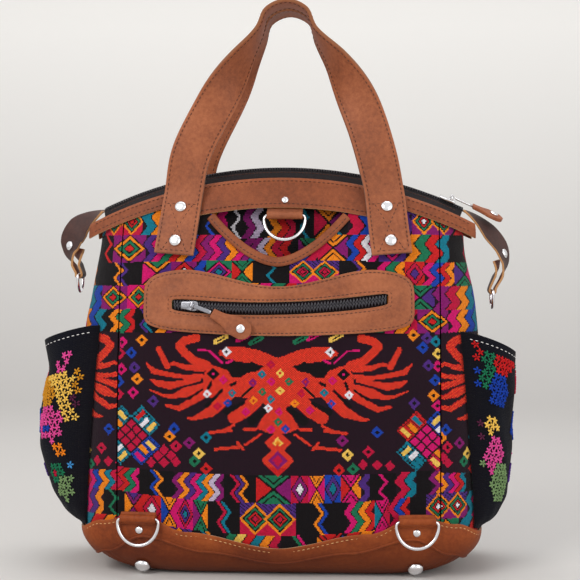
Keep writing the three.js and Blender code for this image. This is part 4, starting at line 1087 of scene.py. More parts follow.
def body_cloth(name, side, low, high, keep, pattern, node, seed):
    nu, nv = round(2 * PANEL_EDGE / FLOAT_W), round((high - low) / FLOAT_H)

    def place(u, v):
        x, z = mix(-PANEL_EDGE, PANEL_EDGE, u), mix(low, high, v)
        fine = 0.35 * np.sin(z / 5.2 + x / 23 + seed) * np.sin(x / 47 + seed)
        pucker = ripple(x, z, seed, 0.55) + fine
        edge = np.minimum(1, (PANEL_EDGE - np.abs(x)) / 12)
        return face(x, z, CLOTH - 0.7 + pucker * edge, side)

    piece = grid(name, nu, nv, place, woven, slot="brocade", smooth=False)
    faces_out(piece, lambda c: (0, side, 0))
    woven_in(trimmed(piece, keep), pattern)
    piece.data.shade_smooth()
    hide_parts(node)
    return piece


CLOTH_LOW, CLOTH_HIGH = 24, 368
SCOOP_LAP = 2.5


def between_edges(x, z):
    return (z > cloth_floor(x)) & (z < cloth_top(x))


def below_scoop(x, z):
    return between_edges(x, z) & (z < scoop_z(x) - SCOOP_LAP)


front_cloth = body_cloth("front-cloth", -1, CLOTH_LOW, CLOTH_HIGH, below_scoop, front_pattern,
                         "front_panel", 1.3)
back_cloth = body_cloth("back-cloth", 1, CLOTH_LOW, CLOTH_HIGH, between_edges, back_pattern,
                        "back_panel", 2.9)

LINING_HALF_WIDTH, LINING_FLOOR, LINING_SAG = 92, 190, 11


def lining_place(u, v):
    x = mix(-LINING_HALF_WIDTH, LINING_HALF_WIDTH, u)
    z = mix(LINING_FLOOR, cloth_top(x), v)
    sag = LINING_SAG * (1 - (2 * u - 1) ** 4) * np.sin(np.pi * v) ** 0.6
    pucker = ripple(x, z, 4.1, 1.2) * np.sin(np.pi * v) * np.sin(np.pi * u)
    return face(x, z, -0.8 - sag + pucker)


lining = grid("slip-pocket-cloth", 124, 110, lining_place, woven, slot="brocade")
faces_out(lining, lambda c: (0, -1, 0))
woven_in(lining, lining_pattern_in_painted_shade)
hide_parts("slip_pocket_lining")

for label, end in (("left", -1), ("right", 1)):
    def place(u, v, end=end):
        share = mix(0.006, 0.994, u)
        fold = np.sin(np.pi * u) ** 0.7 * np.sin(np.pi * v)
        crease = 1.3 * np.sin(v * 21 + 4 * u + end) * np.exp(-((v - 0.8) / 0.2) ** 2)
        pucker = (ripple(140 * u, 290 * v, 3.3 + end, 0.9) + crease) * fold
        return side_point(share, v, end, CLOTH - 0.9 + pucker)

    nu, nv = 136, 236
    piece = grid(f"{label}-gusset-cloth", nu, nv, place, woven, slot="brocade")
    faces_out(piece, lambda c, end=end: (end, 0, 0))
    centre = float_centres(piece)
    across, up = np.floor(cell_middles(piece, "weave")).astype(int).T
    middles = np.zeros((nu, nv, 3))
    middles[across, up] = centre
    steps = np.linalg.norm(np.diff(middles, axis=0), axis=2)
    run = np.vstack([np.zeros((1, nv)), np.cumsum(steps, axis=0)])
    w = Weft(end * (PANEL_HALF_WIDTH + run[across, up]), centre[:, 2])
    side_pattern(w)
    dyed(piece, w)
    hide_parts(f"{label}_gusset")

# ---------------------------------------------------------------- top bands and scoop edge
def rows_on(at, lines, count=160):
    """Lines of places on a surface and the ways out from it. at(a, b, lift) is the surface."""
    made, outs = [], []
    for line in lines:
        a, b = line(np.linspace(0, 1, count))
        low, high = at(a, b, 0.0), at(a, b, 1.0)
        made.append(low)
        outs.append(high - low)
    return made, outs


BAND_LIFT = CLOTH + CLEAR + LEATHER
BAND_SEAM_END, SEAM_INSET = 178, 3.4


def worn_edges(share_low, share_high, width=0.12):
    return np.maximum(1 - share_low / width, 1 - share_high / width)


def band_height(x, share):
    return mix(band_bottom(x), band_top(x), share)


for label, side in (("front", -1), ("back", 1)):
    def place(u, v, side=side):
        x = mix(-BAND_END, BAND_END, u)
        puff = 0.5 * np.sin(np.pi * v) ** 0.6 + ripple(x, 40 * v, 2.2 + side, 0.35)
        return face(x, band_height(x, v), BAND_LIFT - 0.5 + puff, side)

    def worn(p):
        low = band_bottom(p[:, 0])
        share = (p[:, 2] - low) / (band_top(p[:, 0]) - low)
        return 0.9 * worn_edges(share, 1 - share)

    band = grid(f"{label}-zip-band", 180, 14, place, band_tan, raw_edge, slot="leather")
    faces_out(band, lambda c, side=side: (0, side, 0))
    rub(band, worn)
    wall(band, LEATHER - 0.5, 0.5, rim=1)
    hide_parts(f"{label}_top_band")
    at = lambda a, b, lift, side=side: face(a, b, BAND_LIFT + 0.1 + lift, side)
    lines = [lambda t, edge=edge, inset=inset: (mix(-BAND_SEAM_END, BAND_SEAM_END, t),
                                                edge(mix(-BAND_SEAM_END, BAND_SEAM_END, t)) + inset)
             for edge, inset in ((band_top, -SEAM_INSET), (band_bottom, SEAM_INSET))]
    sew(f"{label}-band-stitching", *rows_on(at, lines), brown_thread, slot="leather")


def binding_end(end):
    """Where the scoop's edge goes under the band."""
    x = SCOOP_X
    while scoop_z(x) < band_bottom(x) - CLEAR:
        x += end * 0.25
    return x - end * 0.25


BINDING_ENDS = binding_end(-1), binding_end(1)


def scoop_edge(x, fall, lift):
    slope = scoop_z(x + 0.5) - scoop_z(x - 0.5)
    size = np.hypot(1, slope)
    return face(x + fall * slope / size, scoop_z(x) - fall / size, lift)


binding = grid(
    "scoop-edge", 130, 8,
    lambda u, v: scoop_edge(mix(*BINDING_ENDS, u), mix(8.4, -0.6, v),
                            CLOTH + CLEAR + 0.5 + 1.5 * np.sin(np.pi * v) ** 0.5),
    band_tan, edge_dark, slot="leather")
faces_out(binding, lambda c: (0, -1, 0))
rub(binding, lambda p: 0.35 + 0.3 * np.sin(p[:, 0] / 9))
wall(binding, 1.4, 0.3, rim=1)
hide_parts("scoop_binding")
at = lambda a, b, lift: scoop_edge(a, b, CLOTH + CLEAR + 2.0 + lift)
scoop_seam = lambda t: (mix(*BINDING_ENDS, 0.01 + 0.98 * t), 5.2 + 0 * t)
sew("scoop-stitching", *rows_on(at, [scoop_seam]), brown_thread, pitch=4.0, slot="leather")


# ---------------------------------------------------------------- main zip
def tape_drop(share):
    low = (ZIP_DROP - 1) * (np.maximum(CREST_SHARE - share, 0) / (1 + CREST_SHARE)) ** 1.5
    high = (ZIP_DROP - 1) * (np.maximum(share - CREST_SHARE, 0) / (1 - CREST_SHARE)) ** 2
    return np.where(share < CREST_SHARE, low, high)


def zip_half_width(x):
    return (depth_below_arch(ZIP_DROP) + 1) * section_share(x)


def on_tape(x, y, lift):
    r = ARCH_RADIUS - tape_drop(y / zip_half_width(x)) + lift
    across = x / ARCH_RADIUS
    return points(across * r, y, arch_centre + np.sqrt(1 - across**2) * r)


def tape_place(u, v):
    x = mix(-ZIP_END, ZIP_END, u)
    return on_tape(x, mix(-1, 1, v) * zip_half_width(x), 0.12 * np.sin(u * 90))


tape = grid("zip-tape", 176, 22, tape_place, tape_cloth, slot="zip_tape")
faces_out(tape, lambda c: (0, 0, 1))
wall(tape, 0.9)
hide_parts("main_zip")


def tooth(width, height, wire):
    """One turn of a zip's coil: a bent wire across the run, with its two feet on the tape."""
    mesh = bpy.data.meshes.new("coil turn")
    with edited(mesh) as bm:
        bmesh.ops.create_circle(bm, cap_ends=False, segments=6, radius=wire / 2,
                                matrix=Matrix.Translation((0, -width / 2, 0)))
        bmesh.ops.spin(bm, geom=bm.edges[:] + bm.verts[:], cent=(0, 0, 0), axis=(1, 0, 0),
                       angle=-math.pi, steps=8, use_duplicate=False)
        bmesh.ops.scale(bm, vec=(1, 1, height / (width / 2)), verts=bm.verts)
        bmesh.ops.recalc_face_normals(bm, faces=bm.faces)
    return mesh


TURN = tooth(5.6, 1.9, 1.0)


def coil(name, at, x0, x1, pitch, stagger, body="root"):
    """Turns of the coil along a line at(x, lift), skewed one way and the other by turns."""
    stations = np.linspace(x0, x1, 240)
    line = at(stations, 0.0)
    spots, alongs, share = paced(line, pitch)
    away = at(stations, 1.0) - line
    outs = along_rows(share, np.linspace(0, 1, len(stations)), away)
    across = unit(np.cross(outs, alongs))
    way = np.where(np.arange(len(spots)) % 2 == 0, 1, -1)
    skewed = unit(alongs) + across * (stagger * way)[:, None]
    return scatter(name, TURN, spots, skewed, outs, coil_nylon, slot="zip_tape", body=body)


coil("zip-coil", lambda x, lift: on_tape(x, COIL_Y + 0 * x, 0.2 + lift), -174, 174, 1.25, 0.25)
for label, side in (("front", -1), ("back", 1)):
    at = lambda a, b, lift, side=side: on_tape(a, COIL_Y + side * b + 0 * a, 0.15 + lift)
    tape_seam = lambda t: (mix(-170, 170, t), 7.5 + 0 * t)
    sew(f"tape-{label}-stitching", *rows_on(at, [tape_seam]), brown_thread, pitch=3.4, slot="zip_tape")


# ---------------------------------------------------------------- handles
STRAP_WIDTH, STRAP_THICKNESS = 38, 3.6
FOOT_X = {-1: 98, 1: 105}
FOOT_Z, FOOT_LEAN, LEAVE_DROP, HANDLE_TOP_Z = 299, 7, 33, 540
NECK_X, NECK_RADIUS, NECK_Y = 6, 27, 22
STRAP_LIFT = CLOTH + LEATHER + 4 * CLEAR
# The free rise over each foot: share of the foot's x, share of the rise, and distance from the middle.
STRAP_RUN = {-1: [(0.867, 0.065, 34), (0.643, 0.365, 28), (0.398, 0.636, 24)],
             1: [(0.867, 0.065, 34), (0.724, 0.365, 27), (0.514, 0.636, 24)]}


def strap_stops(side):
    """Places along the strap's middle: a foot, the free rise, the neck, and down to the other foot."""
    def lying(end, share, off=0):
        x = end * (FOOT_X[end] - FOOT_LEAN * share)
        lift = STRAP_LIFT + STRAP_THICKNESS / 2 + off
        return face(x, mix(FOOT_Z, TOP_Z - LEAVE_DROP, share), lift, side)

    def leave(end, stop):
        out, up, away = stop
        return points(end * out * FOOT_X[end], side * away, mix(TOP_Z, HANDLE_TOP_Z, up))

    def neck(degrees):
        a = math.radians(degrees)
        return points(NECK_X + NECK_RADIUS * math.cos(a), side * NECK_Y,
                      HANDLE_TOP_Z - NECK_RADIUS + NECK_RADIUS * math.sin(a))

    return np.array([lying(-1, 0), lying(-1, 0.55), lying(-1, 1, 1.6),
                     *[leave(-1, s) for s in STRAP_RUN[-1]], *[neck(a) for a in (180, 135, 90, 45, 0)],
                     *[leave(1, s) for s in reversed(STRAP_RUN[1])],
                     lying(1, 1, 1.6), lying(1, 0.55), lying(1, 0)])


def smooth_line(stops, count):
    """A centripetal curve through the stops, at equal steps of its length."""
    stops = np.vstack([2 * stops[0] - stops[1], stops, 2 * stops[-1] - stops[-2]])
    fine = []
    for p0, p1, p2, p3 in zip(stops, stops[1:], stops[2:], stops[3:]):
        d0, d1, d2 = [max(float(np.sum((b - a) ** 2)) ** 0.25, 1e-4)
                      for a, b in ((p0, p1), (p1, p2), (p2, p3))]
        m1 = ((p1 - p0) / d0 - (p2 - p0) / (d0 + d1) + (p2 - p1) / d1) * d1
        m2 = ((p2 - p1) / d1 - (p3 - p1) / (d1 + d2) + (p3 - p2) / d2) * d1
        t = np.linspace(0, 1, 40, endpoint=False)[:, None]
        fine.append(p1 + m1 * t + (3 * (p2 - p1) - 2 * m1 - m2) * t**2
                    + (2 * (p1 - p2) + m1 + m2) * t**3)
    fine = np.vstack([*fine, stops[-2:-1]])
    run = np.concatenate([[0], np.cumsum(np.linalg.norm(np.diff(fine, axis=0), axis=1))])
    return along_rows(np.linspace(0, run[-1], count), run, fine), run[-1]


def strap_frames(side, count):
    line, length = smooth_line(strap_stops(side), count)
    along = unit(np.gradient(line, axis=0))
    z = line[:, 2]
    turn = np.pi / 2 * ease(clamp01((z - TOP_Z - 32) / (HANDLE_TOP_Z - 12 - TOP_Z - 32)))
    free = ease(clamp01((z - TOP_Z + 28) / 48))[:, None]
    out = (face_normal(line[:, 0], np.minimum(z, TOP_Z - 28), side) * (1 - free)
           + np.array([0, side, 0]) * free)
    level = unit(np.cross(out, along))
    depth = unit(np.cross(along, level))
    width = level * np.cos(turn)[:, None] + depth * np.sin(turn)[:, None]
    return line, along, width, unit(np.cross(along, width)), length


STEPS = 340
STRAP_SEAM = 16
FOOT_SEAMS = 3.5, 51
# At each foot: two rows across and a cross between them, from width w0 at stop s0 to w1 at s1.
FOOT_CROSS = [(-15, 15, 0, 0), (-15, 15, 1, 1), (-11.5, 11.5, 0, 1), (11.5, -11.5, 0, 1)]
for label, side in (("front", -1), ("back", 1)):
    line, along, width, thick, length = strap_frames(side, STEPS)
    straight = thick * np.sign(thick[:, 1] * side)[:1, None]

    def ribbon(u, v, line=line, width=width, thick=straight):
        pick = lambda values: along_rows(u * (STEPS - 1), np.arange(STEPS), values)
        w = (v - 0.5) * STRAP_WIDTH
        bow = 0.7 * (1 - (2 * v - 1) ** 2) + ripple(u * 600, w, 1.9, 0.3) - 0.35
        groove = -0.35 * np.exp(-((np.abs(w) - 15.8) / 1.1) ** 2)
        lift = STRAP_THICKNESS / 2 + bow + groove
        return pick(line) + pick(width) * w[:, None] + pick(thick) * lift[:, None]

    strap = grid(f"{label}-handle-strap", STEPS - 1, 18, ribbon, tan, edge_dark, slot="leather")
    first = strap.data.polygons[0]
    if Vector(first.normal).dot(Vector(straight[0])) < 0:
        strap.data.flip_normals()
    mesh = strap.data
    share = np.zeros(len(mesh.vertices))
    corner = read(mesh.loops, "vertex_index", 1, np.int32)
    share[corner] = read(mesh.uv_layers["OFBake"].data, "uv", 2)[:, 1]
    rub(strap, lambda p: (0.85 * worn_edges(share, 1 - share, 0.07)
                          + 0.3 * clamp01((p[:, 2] - 430) / 90)))
    wall(strap, STRAP_THICKNESS - 0.4, 0.6, rim=1)
    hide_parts(f"{label}_handle")
    top = STRAP_THICKNESS / 2 + 0.05
    seams, outs = [], []
    for w in (-STRAP_SEAM, STRAP_SEAM):
        for sign, lift in ((1, top), (-1, -STRAP_THICKNESS / 2 + 0.1)):
            seams.append((line + width * w + straight * lift)[3:-3])
            outs.append(straight[3:-3] * sign)
    last = STEPS - 1
    pace = length / last
    for first_step, way in ((0, 1), (last, -1)):
        stops = [int(round(first_step + way * d / pace)) for d in FOOT_SEAMS]
        for w0, w1, s0, s1 in FOOT_CROSS:
            t = np.linspace(0, 1, 30)[:, None]
            ia, ib = stops[s0], stops[s1]
            k = np.round(ia + (ib - ia) * t[:, 0]).astype(int)
            seams.append(line[k] + width[k] * mix(w0, w1, t) + straight[k] * (top + 0.15))
            outs.append(straight[k])
    sew(f"{label}-handle-stitching", seams, outs, brown_thread, pitch=4.4, slot="leather")

# ---------------------------------------------------------------- zipped pocket
PATCH_LIFT, PATCH_LEATHER = CLOTH + CLEAR, 2.2
slot_arc_z = SLOT_Z + math.sqrt(SLOT_RADIUS**2 - SLOT_ARC_X**2)


def slot_z(x):
    return slot_arc_z - np.sqrt(SLOT_RADIUS**2 - (x - SLOT_ARC_X) ** 2)


def power(value, n):
    return np.sign(value) * np.abs(value) ** n


def slot_outline(t):
    c, s = np.cos(t * 2 * np.pi), np.sin(t * 2 * np.pi)
    x = (SLOT_LEFT + SLOT_RIGHT) / 2 + (SLOT_RIGHT - SLOT_LEFT) / 2 * power(c, 0.25)
    return x, slot_z(x) + SLOT_HEIGHT / 2 * power(s, 0.25)


def patch_outline(t):
    c, s = np.cos(t * 2 * np.pi), np.sin(t * 2 * np.pi)
    x = 126 * power(c, 0.4)
    level = power(s, 0.4)
    up = 35 - 17 * (1 - ease(clamp01(np.abs(x) / 95)))
    down = 27 - 3 * ease(clamp01(np.abs(x) / 126))
    return x, SLOT_Z + 2 + np.where(level > 0, up, down) * level


def patch_place(t, v, lift):
    ax, az = slot_outline(t)
    bx, bz = patch_outline(t)
    return face(mix(ax, bx, v), mix(az, bz, v), lift)


def even_turn(u):
    """Shares of the outline's turn that pass round its long sides at an even pace."""
    t = np.linspace(0, 1, 4001)
    x, z = patch_outline(t)
    run = np.concatenate([[0], np.cumsum(np.hypot(np.diff(x), np.diff(z)))])
    return np.interp(u, run / run[-1], t)


def patch_leather(u, v):
    """The patch's outer face, with a groove for each of its two seams."""
    lift = (PATCH_LIFT + PATCH_LEATHER + 0.3 * np.sin(np.pi * v)
            - 0.35 * np.exp(-((v - 0.88) / 0.035) ** 2) - 0.3 * np.exp(-((v - 0.1) / 0.03) ** 2)
            + 0.25 * np.sin(9.7 * v + 2 * np.pi * u * 2))
    return patch_place(even_turn(u), v, lift)


patch = grid("pocket-patch", 300, 18, patch_leather, tan, raw_edge, slot="leather", around=True)
faces_out(patch, lambda c: (0, -1, 0))
rub(patch, lambda p: 0.2 + 0.3 * np.sin(p[:, 0] / 23) * np.sin(p[:, 2] / 9))
wall(patch, PATCH_LEATHER, 0.5, rim=1)
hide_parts("pocket_surround")
at = lambda a, b, lift: patch_place(a, b, PATCH_LIFT + PATCH_LEATHER + lift)
patch_seams = [lambda t, v=v: (even_turn(t), v + 0 * t) for v in (0.89, 0.13)]
sew("pocket-stitching", *rows_on(at, patch_seams, 400), brown_thread, pitch=4.1, slot="leather")

POCKET_TAPE_HALF = 5.6


def pocket_tape_place(u, v):
    x = mix(SLOT_LEFT + 1, SLOT_RIGHT - 1, u)
    return face(x, slot_z(x) + mix(-POCKET_TAPE_HALF, POCKET_TAPE_HALF, v), PATCH_LIFT + 1.0)


pocket_tape = grid("pocket-zip-tape", 150, 10, pocket_tape_place, tape_cloth, slot="zip_tape")
faces_out(pocket_tape, lambda c: (0, -1, 0))
wall(pocket_tape, 0.8)
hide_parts("pocket_zip")
for k, offset in enumerate((-1.55, 1.55)):
    at = lambda x, lift, offset=offset: face(x, slot_z(x) + offset, PATCH_LIFT + 1.1 + lift)
    coil(f"pocket-coil-{k + 1}", at, SLOT_LEFT + 2, SLOT_RIGHT - 2, 1.5, 0.3)

# ---------------------------------------------------------------- base
FRONT_STEPS, END_STEPS = 150, 56


def circuit():
    """Stops round the bag, anticlockwise from the front's left seam, as x and share of half depth."""
    t = np.arange(FRONT_STEPS) / FRONT_STEPS
    s = np.arange(END_STEPS) / END_STEPS
    x = mix(-PANEL_HALF_WIDTH, PANEL_HALF_WIDTH, t)
    ex, ey = level_point(s, 1)
    xs = np.concatenate([x, ex, -x, -ex])
    ys = np.concatenate([-section_share(x), ey, section_share(x), -ey])
    return xs, ys


stop_x, stop_y = circuit()
STOPS = len(stop_x)


def wall_point(k, z, lift, dip=None):
    """The wall at stop k and height z, with its normal turning down into the underside."""
    sx, sy = stop_x[k], stop_y[k]
    dip = dip_at(z) if dip is None else dip
    turn = 1 - np.cos(dip)
    height = np.where(dip > 0, FLOOR_Z + CORNER_Z * (1 - np.sin(dip)), z)
    a = HALF_WIDTH - CORNER_X * turn
    b = depth_below_arch(arch_z(sx) - height) - CORNER_Y * turn
    x, y = sx / HALF_WIDTH * a, sy * b
    n = SECTION_POWER - 1
    flat = unit(points(power(x / a, n) / a, power(y / b, n) / b, 0 * x))
    corner = CORNER_X * np.abs(flat[:, 0]) + CORNER_Y * np.abs(flat[:, 1])
    normal = unit(flat * (CORNER_Z * np.cos(dip))[:, None] + points(0 * x, 0 * x, -corner * np.sin(dip)))
    return points(x, y, height) + normal * np.expand_dims(np.broadcast_to(lift, x.shape), -1)


def stop_of(u):
    return np.round(u * STOPS).astype(int) % STOPS


def band_place(u, v, lift):
    k = stop_of(u)
    z = mix(wave(SEAM, stop_x[k]), wave(BAND_TOP, stop_x[k]), v)
    return wall_point(k, z, lift)


base_band = grid(
    "base-band", STOPS, 14,
    lambda u, v: band_place(u, v, CLOTH + CLEAR + LEATHER - 0.3 + 0.5 * np.sin(np.pi * v) ** 0.5
                            + 0.5 * np.sin(u * 41) * np.sin(u * 97 + 3 * v) * np.sin(np.pi * v)),
    saddle, raw_edge, slot="base_leather", around=True)
faces_out(base_band, lambda c: (c[0], c[1], 0))
rub(base_band, lambda p: 0.9 * clamp01(1 - (wave(BAND_TOP, p[:, 0]) - p[:, 2]) / 3.5))
wall(base_band, LEATHER - 0.3, 0.6, rim=1)
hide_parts("base_band")


def base_place(u, v):
    k = stop_of(u)
    sx = stop_x[k]
    start = np.maximum(dip_at(wave(SEAM, sx) + 3.2), 1e-6)
    turn = clamp01(v / 0.45)
    dip = mix(start, np.pi / 2, turn)
    across = np.minimum(1, np.abs(sx) / 150) * np.where(np.abs(stop_y[k]) > 0.6, 1, 0.6)
    fold = (np.exp(-((np.abs(sx) - 170) / 9) ** 2) * np.sin(sx * 0.9) * 1.3 * np.sin(np.pi * turn)
            + 0.8 * np.sin(sx / 19 + 1) * np.sin(np.pi * turn) * across)
    place = wall_point(k, 0 * sx, BASE_LIFT + fold * 0.6, dip)
    keep = mix(1, 0.02, clamp01((v - 0.45) / 0.55))
    return place * np.stack([keep, keep, np.ones_like(keep)], -1)


base_tray = grid("base-tray", STOPS, 30, base_place, saddle, edge_dark, slot="base_leather", around=True)
faces_out(base_tray, lambda c: (c[0], c[1], -0.2))
with edited(base_tray.data) as bm:
    low = [e for e in bm.edges if e.is_boundary and all(abs(v.co.x) < 0.006 for v in e.verts)]
    bmesh.ops.holes_fill(bm, edges=low, sides=0)
rub(base_tray, lambda p: 0.25 * clamp01(1 - np.abs(p[:, 2] - 9) / 9))
wall(base_tray, LEATHER - 0.4, 0.4, rim=1)
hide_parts("base_panel")
around_base = np.arange(STOPS + 1) % STOPS
edge = lambda z, lift: wall_point(around_base, z(stop_x[around_base]), lift)
below_top = lambda x: wave(BAND_TOP, x) - SEAM_INSET
base_seam = edge(below_top, BAND_LIFT - 0.1)
sew("base-stitching", [base_seam], [edge(below_top, BAND_LIFT + 0.9) - base_seam], tan_thread,
    pitch=4.6, slot="base_leather")
piping_line = edge(lambda x: wave(SEAM, x) - 0.6, CLOTH + 1.6)


def pipe(name, line, radius, material, sides=8, **look):
    """A closed roll of leather along a line."""
    line = np.asarray(line)[:-1]
    along = unit(np.roll(line, -1, 0) - np.roll(line, 1, 0))
    up = unit(np.cross(along, np.broadcast_to([0, 0, 1.0], along.shape)))
    other = np.cross(up, along)

    def place(u, v):
        k = np.round(u * len(line)).astype(int) % len(line)
        a = (v * 2 * np.pi)[:, None]
        return line[k] + (up[k] * np.cos(a) + other[k] * np.sin(a)) * radius

    roll = grid(name, len(line), sides, place, material, around=True, **look)
    with edited(roll.data) as bm:
        bmesh.ops.recalc_face_normals(bm, faces=bm.faces)
    return roll


pipe("base-piping", piping_line, 1.5, saddle, slot="base_leather")

# ---------------------------------------------------------------- side pockets
# Each cluster: dye, then its middle and half size as seen from the front, from the bag's middle.
CLUSTERS = {
    -1: [
        ("sky", -233, 214, 4, 4), ("sky", -212, 225, 9, 3), ("pink", -207, 193, 4, 5),
        ("pink", -200, 203, 4, 6), ("yellow", -207, 176, 15, 13), ("yellow", -200, 157, 11, 17),
        ("ochre", -222, 168, 8, 14), ("ochre", -187, 181, 8, 12), ("plum", -190, 160, 7, 12),
        ("pink", -219, 139, 12, 16), ("blue", -222, 136, 4, 4), ("orange", -208, 115, 7, 6),
        ("sky", -197, 103, 4, 6), ("green", -212, 92, 9, 8), ("leaf", -203, 80, 8, 13),
        ("crimson", -214, 90, 3, 3),
    ],
    1: [
        ("red", 180, 208, 12, 12), ("red", 209, 196, 10, 10), ("green", 195, 192, 7, 18),
        ("blue", 180, 186, 8, 14), ("blue", 204, 174, 9, 17), ("yellow", 198, 142, 6, 9),
        ("plum", 184, 132, 6, 16), ("pink", 201, 113, 9, 18), ("leaf", 186, 106, 5, 16),
        ("leaf", 206, 88, 8, 18),
    ],
}
# Seen from the side: dye, depth and height of the middle, and half size.
SIDE_CLUSTERS = [
    ("crimson", -16, 178, 11, 12), ("yellow", -15, 178, 4, 4), ("orange", 18, 160, 12, 11),
    ("red", 18, 160, 4, 4), ("blue", -20, 138, 11, 12), ("white", -20, 138, 4, 4),
    ("pink", 12, 120, 13, 13), ("yellow", 12, 120, 4, 4), ("leaf", -6, 98, 4, 15),
    ("leaf", 22, 94, 9, 5), ("violet", -22, 92, 10, 9), ("green", 0, 148, 4, 12),
    ("green", 2, 192, 9, 5),
]
SWELL_STOPS = {
    -1: ([0, 0.05, 0.16, 0.42, 0.62, 0.84, 1], [0, 18, 34, 47, 45, 34, 40]),
    1: ([0, 0.05, 0.16, 0.45, 0.6, 0.8, 1], [0, 16, 28, 31, 29, 32, 33]),
}
ROOF = {-1: (215, 19), 1: (206, 23)}
PETAL = template(0.95, 3.5, 5)


def pocket_place(u, v, end, lift):
    share = mix(mix(0.27, 0.13, v), 0.95, u)
    x, y = level_point(share, end)
    floor = wave(BAND_TOP, x) + 1.2
    roof = ROOF[end][0] + ROOF[end][1] * np.abs(2 * u - 1) ** 1.5
    z = mix(floor, roof, v)
    n = SECTION_POWER - 1
    b = depth_below_arch(arch_z(x) - z)
    flat = unit(points(power(x / HALF_WIDTH, n) / HALF_WIDTH, power(y, n) / b, 0 * x))
    stops, widths = SWELL_STOPS[end]
    fine = np.linspace(-0.08, 1.08, 233)
    soft = np.convolve(np.interp(fine, stops, widths), np.ones(13) / 13, "same")
    swell = np.interp(v, fine[8:-8], soft[8:-8])
    swell = swell * np.clip(np.sin(np.pi * u), 0, 1) ** 0.5 * clamp01(v / 0.03)
    return (points(x, y * b, z) + flat * np.expand_dims(np.broadcast_to(lift, x.shape), -1)
            + points(end * swell, 0 * x, 0 * x))


for label, end in (("left", -1), ("right", 1)):
    def place(u, v, end=end):
        wrinkle = (ripple(170 * u, 160 * v, 5.1 + end, 1.5) + 0.8 * np.sin(u * 26 + 6 * v + end)
                   * np.sin(np.pi * v) ** 2 + 0.7 * np.sin(u * 60) * np.exp(-(v / 0.12) ** 2))
        edge = np.sin(np.pi * u) ** 0.4 * (1 - np.exp(-v / 0.03))
        return pocket_place(u, v, end, CLOTH + CLEAR + 1.2 + wrinkle * edge)

    pocket = grid(f"{label}-side-pocket", 118, 112, place, black_cloth, slot="pocket_cloth")
    faces_out(pocket, lambda c, end=end: (end, 0, 0))
    middle = cell_middles(pocket, "OFBake")
    w = Weft(middle[:, 0], middle[:, 1], "black")
    faded = 0.5 + 0.5 * np.sin(middle[:, :1] * 9)
    w.dye[:] = mix(np.array(DYES["black"]), np.array(DYES["navy"]), faded)
    dyed(pocket, w)
    wall(pocket, 1.4)
    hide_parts(f"{label}_side_pocket")
    spots, alongs, outs, tones = [], [], [], []
    rng = np.random.default_rng(7 + end)

    def put(us, vs, du, dv, tone, end=end):
        """Petals of one knot, at shares us and vs, each pointing by du and dv."""
        us, vs, du, dv = [np.atleast_1d(np.asarray(c, float)) for c in (us, vs, du, dv)]
        lift = np.full(us.shape, CLOTH + CLEAR + 1.5)
        here = pocket_place(us, vs, end, lift)
        there = pocket_place(clamp01(us + du), clamp01(vs + dv), end, lift)
        side_on = pocket_place(clamp01(us + 0.01), vs, end, lift) - here
        up_on = pocket_place(us, clamp01(vs + 0.01), end, lift) - here
        normal = unit(np.cross(side_on, up_on)) * end
        spots.append(place(us, vs) + normal * 0.35)
        alongs.append(there - here)
        outs.append(normal)
        tones.append(np.tile(DYES[tone], (len(us), 1)) * rng.uniform(0.85, 1.1, (len(us), 1)))

    for row_no, v in enumerate(np.arange(0.06, 0.97, 0.034)):
        for u in np.arange(0.03 + 0.0165 * (row_no % 2), 0.98, 0.033):
            spot = pocket_place(np.array([u]), np.array([v]), end, 3.0)[0]
            tone = None
            for dye, y, z, half_w, half_h in SIDE_CLUSTERS:
                if ((spot[1] - y) / half_w) ** 2 + ((spot[2] - z) / half_h) ** 2 < 1:
                    tone = dye
            for dye, x, z, half_w, half_h in CLUSTERS[end] if abs(spot[1]) > 27 else []:
                if ((spot[0] - x) / half_w) ** 2 + ((spot[2] - z) / half_h) ** 2 < 1:
                    tone = dye
            if tone:
                a = (np.arange(5) + rng.uniform()) / 5 * 2 * np.pi
                put(u + 0.0092 * np.cos(a), v + 0.0112 * np.sin(a),
                    np.cos(a) * 0.008, np.sin(a) * 0.0097, tone)
    scatter(f"{label}-pocket-embroidery", PETAL, *[np.concatenate(c) for c in (spots, alongs, outs)],
            black_cloth, colours=np.concatenate(tones), slot="pocket_cloth")
    line = place(np.linspace(0.01, 0.99, 120), np.full(120, 0.965))
    ahead = place(np.linspace(0.01, 0.99, 120), np.full(120, 0.9))
    out = np.cross(np.gradient(line, axis=0), line - ahead) * end
    sew(f"{label}-pocket-tacking", [line + unit(out) * 0.2], [unit(out)], white_thread, pitch=5.2,
        slot="pocket_cloth")

# ---------------------------------------------------------------- shoulder tabs
TAB_THICKNESS, SIDE_WIRE_HALF, TAPE_HALF = 2.4, 1.5, 0.6
SIDE_BAR = {-1: (24.6, -62.7), 1: (28.6, -77.7)}
# Each stop of a tab: out from the zip's end, up from it, and the tab's width there.
TAB_ROUTE = {
    -1: [(2 * CLEAR, -CLEAR, 20), (6.6, -3.1, 20), (15.6, -8.2, 24), (26, -16.5, 28), (33, -28, 28),
         (34.6, -41, 26), (31, -53.5, 19)],
    1: [(2 * CLEAR, -CLEAR, 20), (6.6, -3.6, 20), (15.6, -10.5, 24), (26.6, -22, 28), (36.6, -35, 28),
        (41, -50, 26), (37.8, -64.5, 19)],
}
TAB_RETURN = {-1: [(24.6, -52.7, 18), (25.6, -44.7, 22), (26.1, -36.7, 22)],
              1: [(29.6, -66.7, 18), (33.1, -57.7, 22), (32.6, -48.7, 22)]}
TAB_TWIST = {-1: 62, 1: 34}
tape_end_turn = math.asin(ZIP_END / ARCH_RADIUS)
tape_end_radius = ARCH_RADIUS - float(tape_drop(0.0)) - TAPE_HALF
TAPE_END = (tape_end_radius * math.sin(tape_end_turn),
            arch_centre + tape_end_radius * math.cos(tape_end_turn))


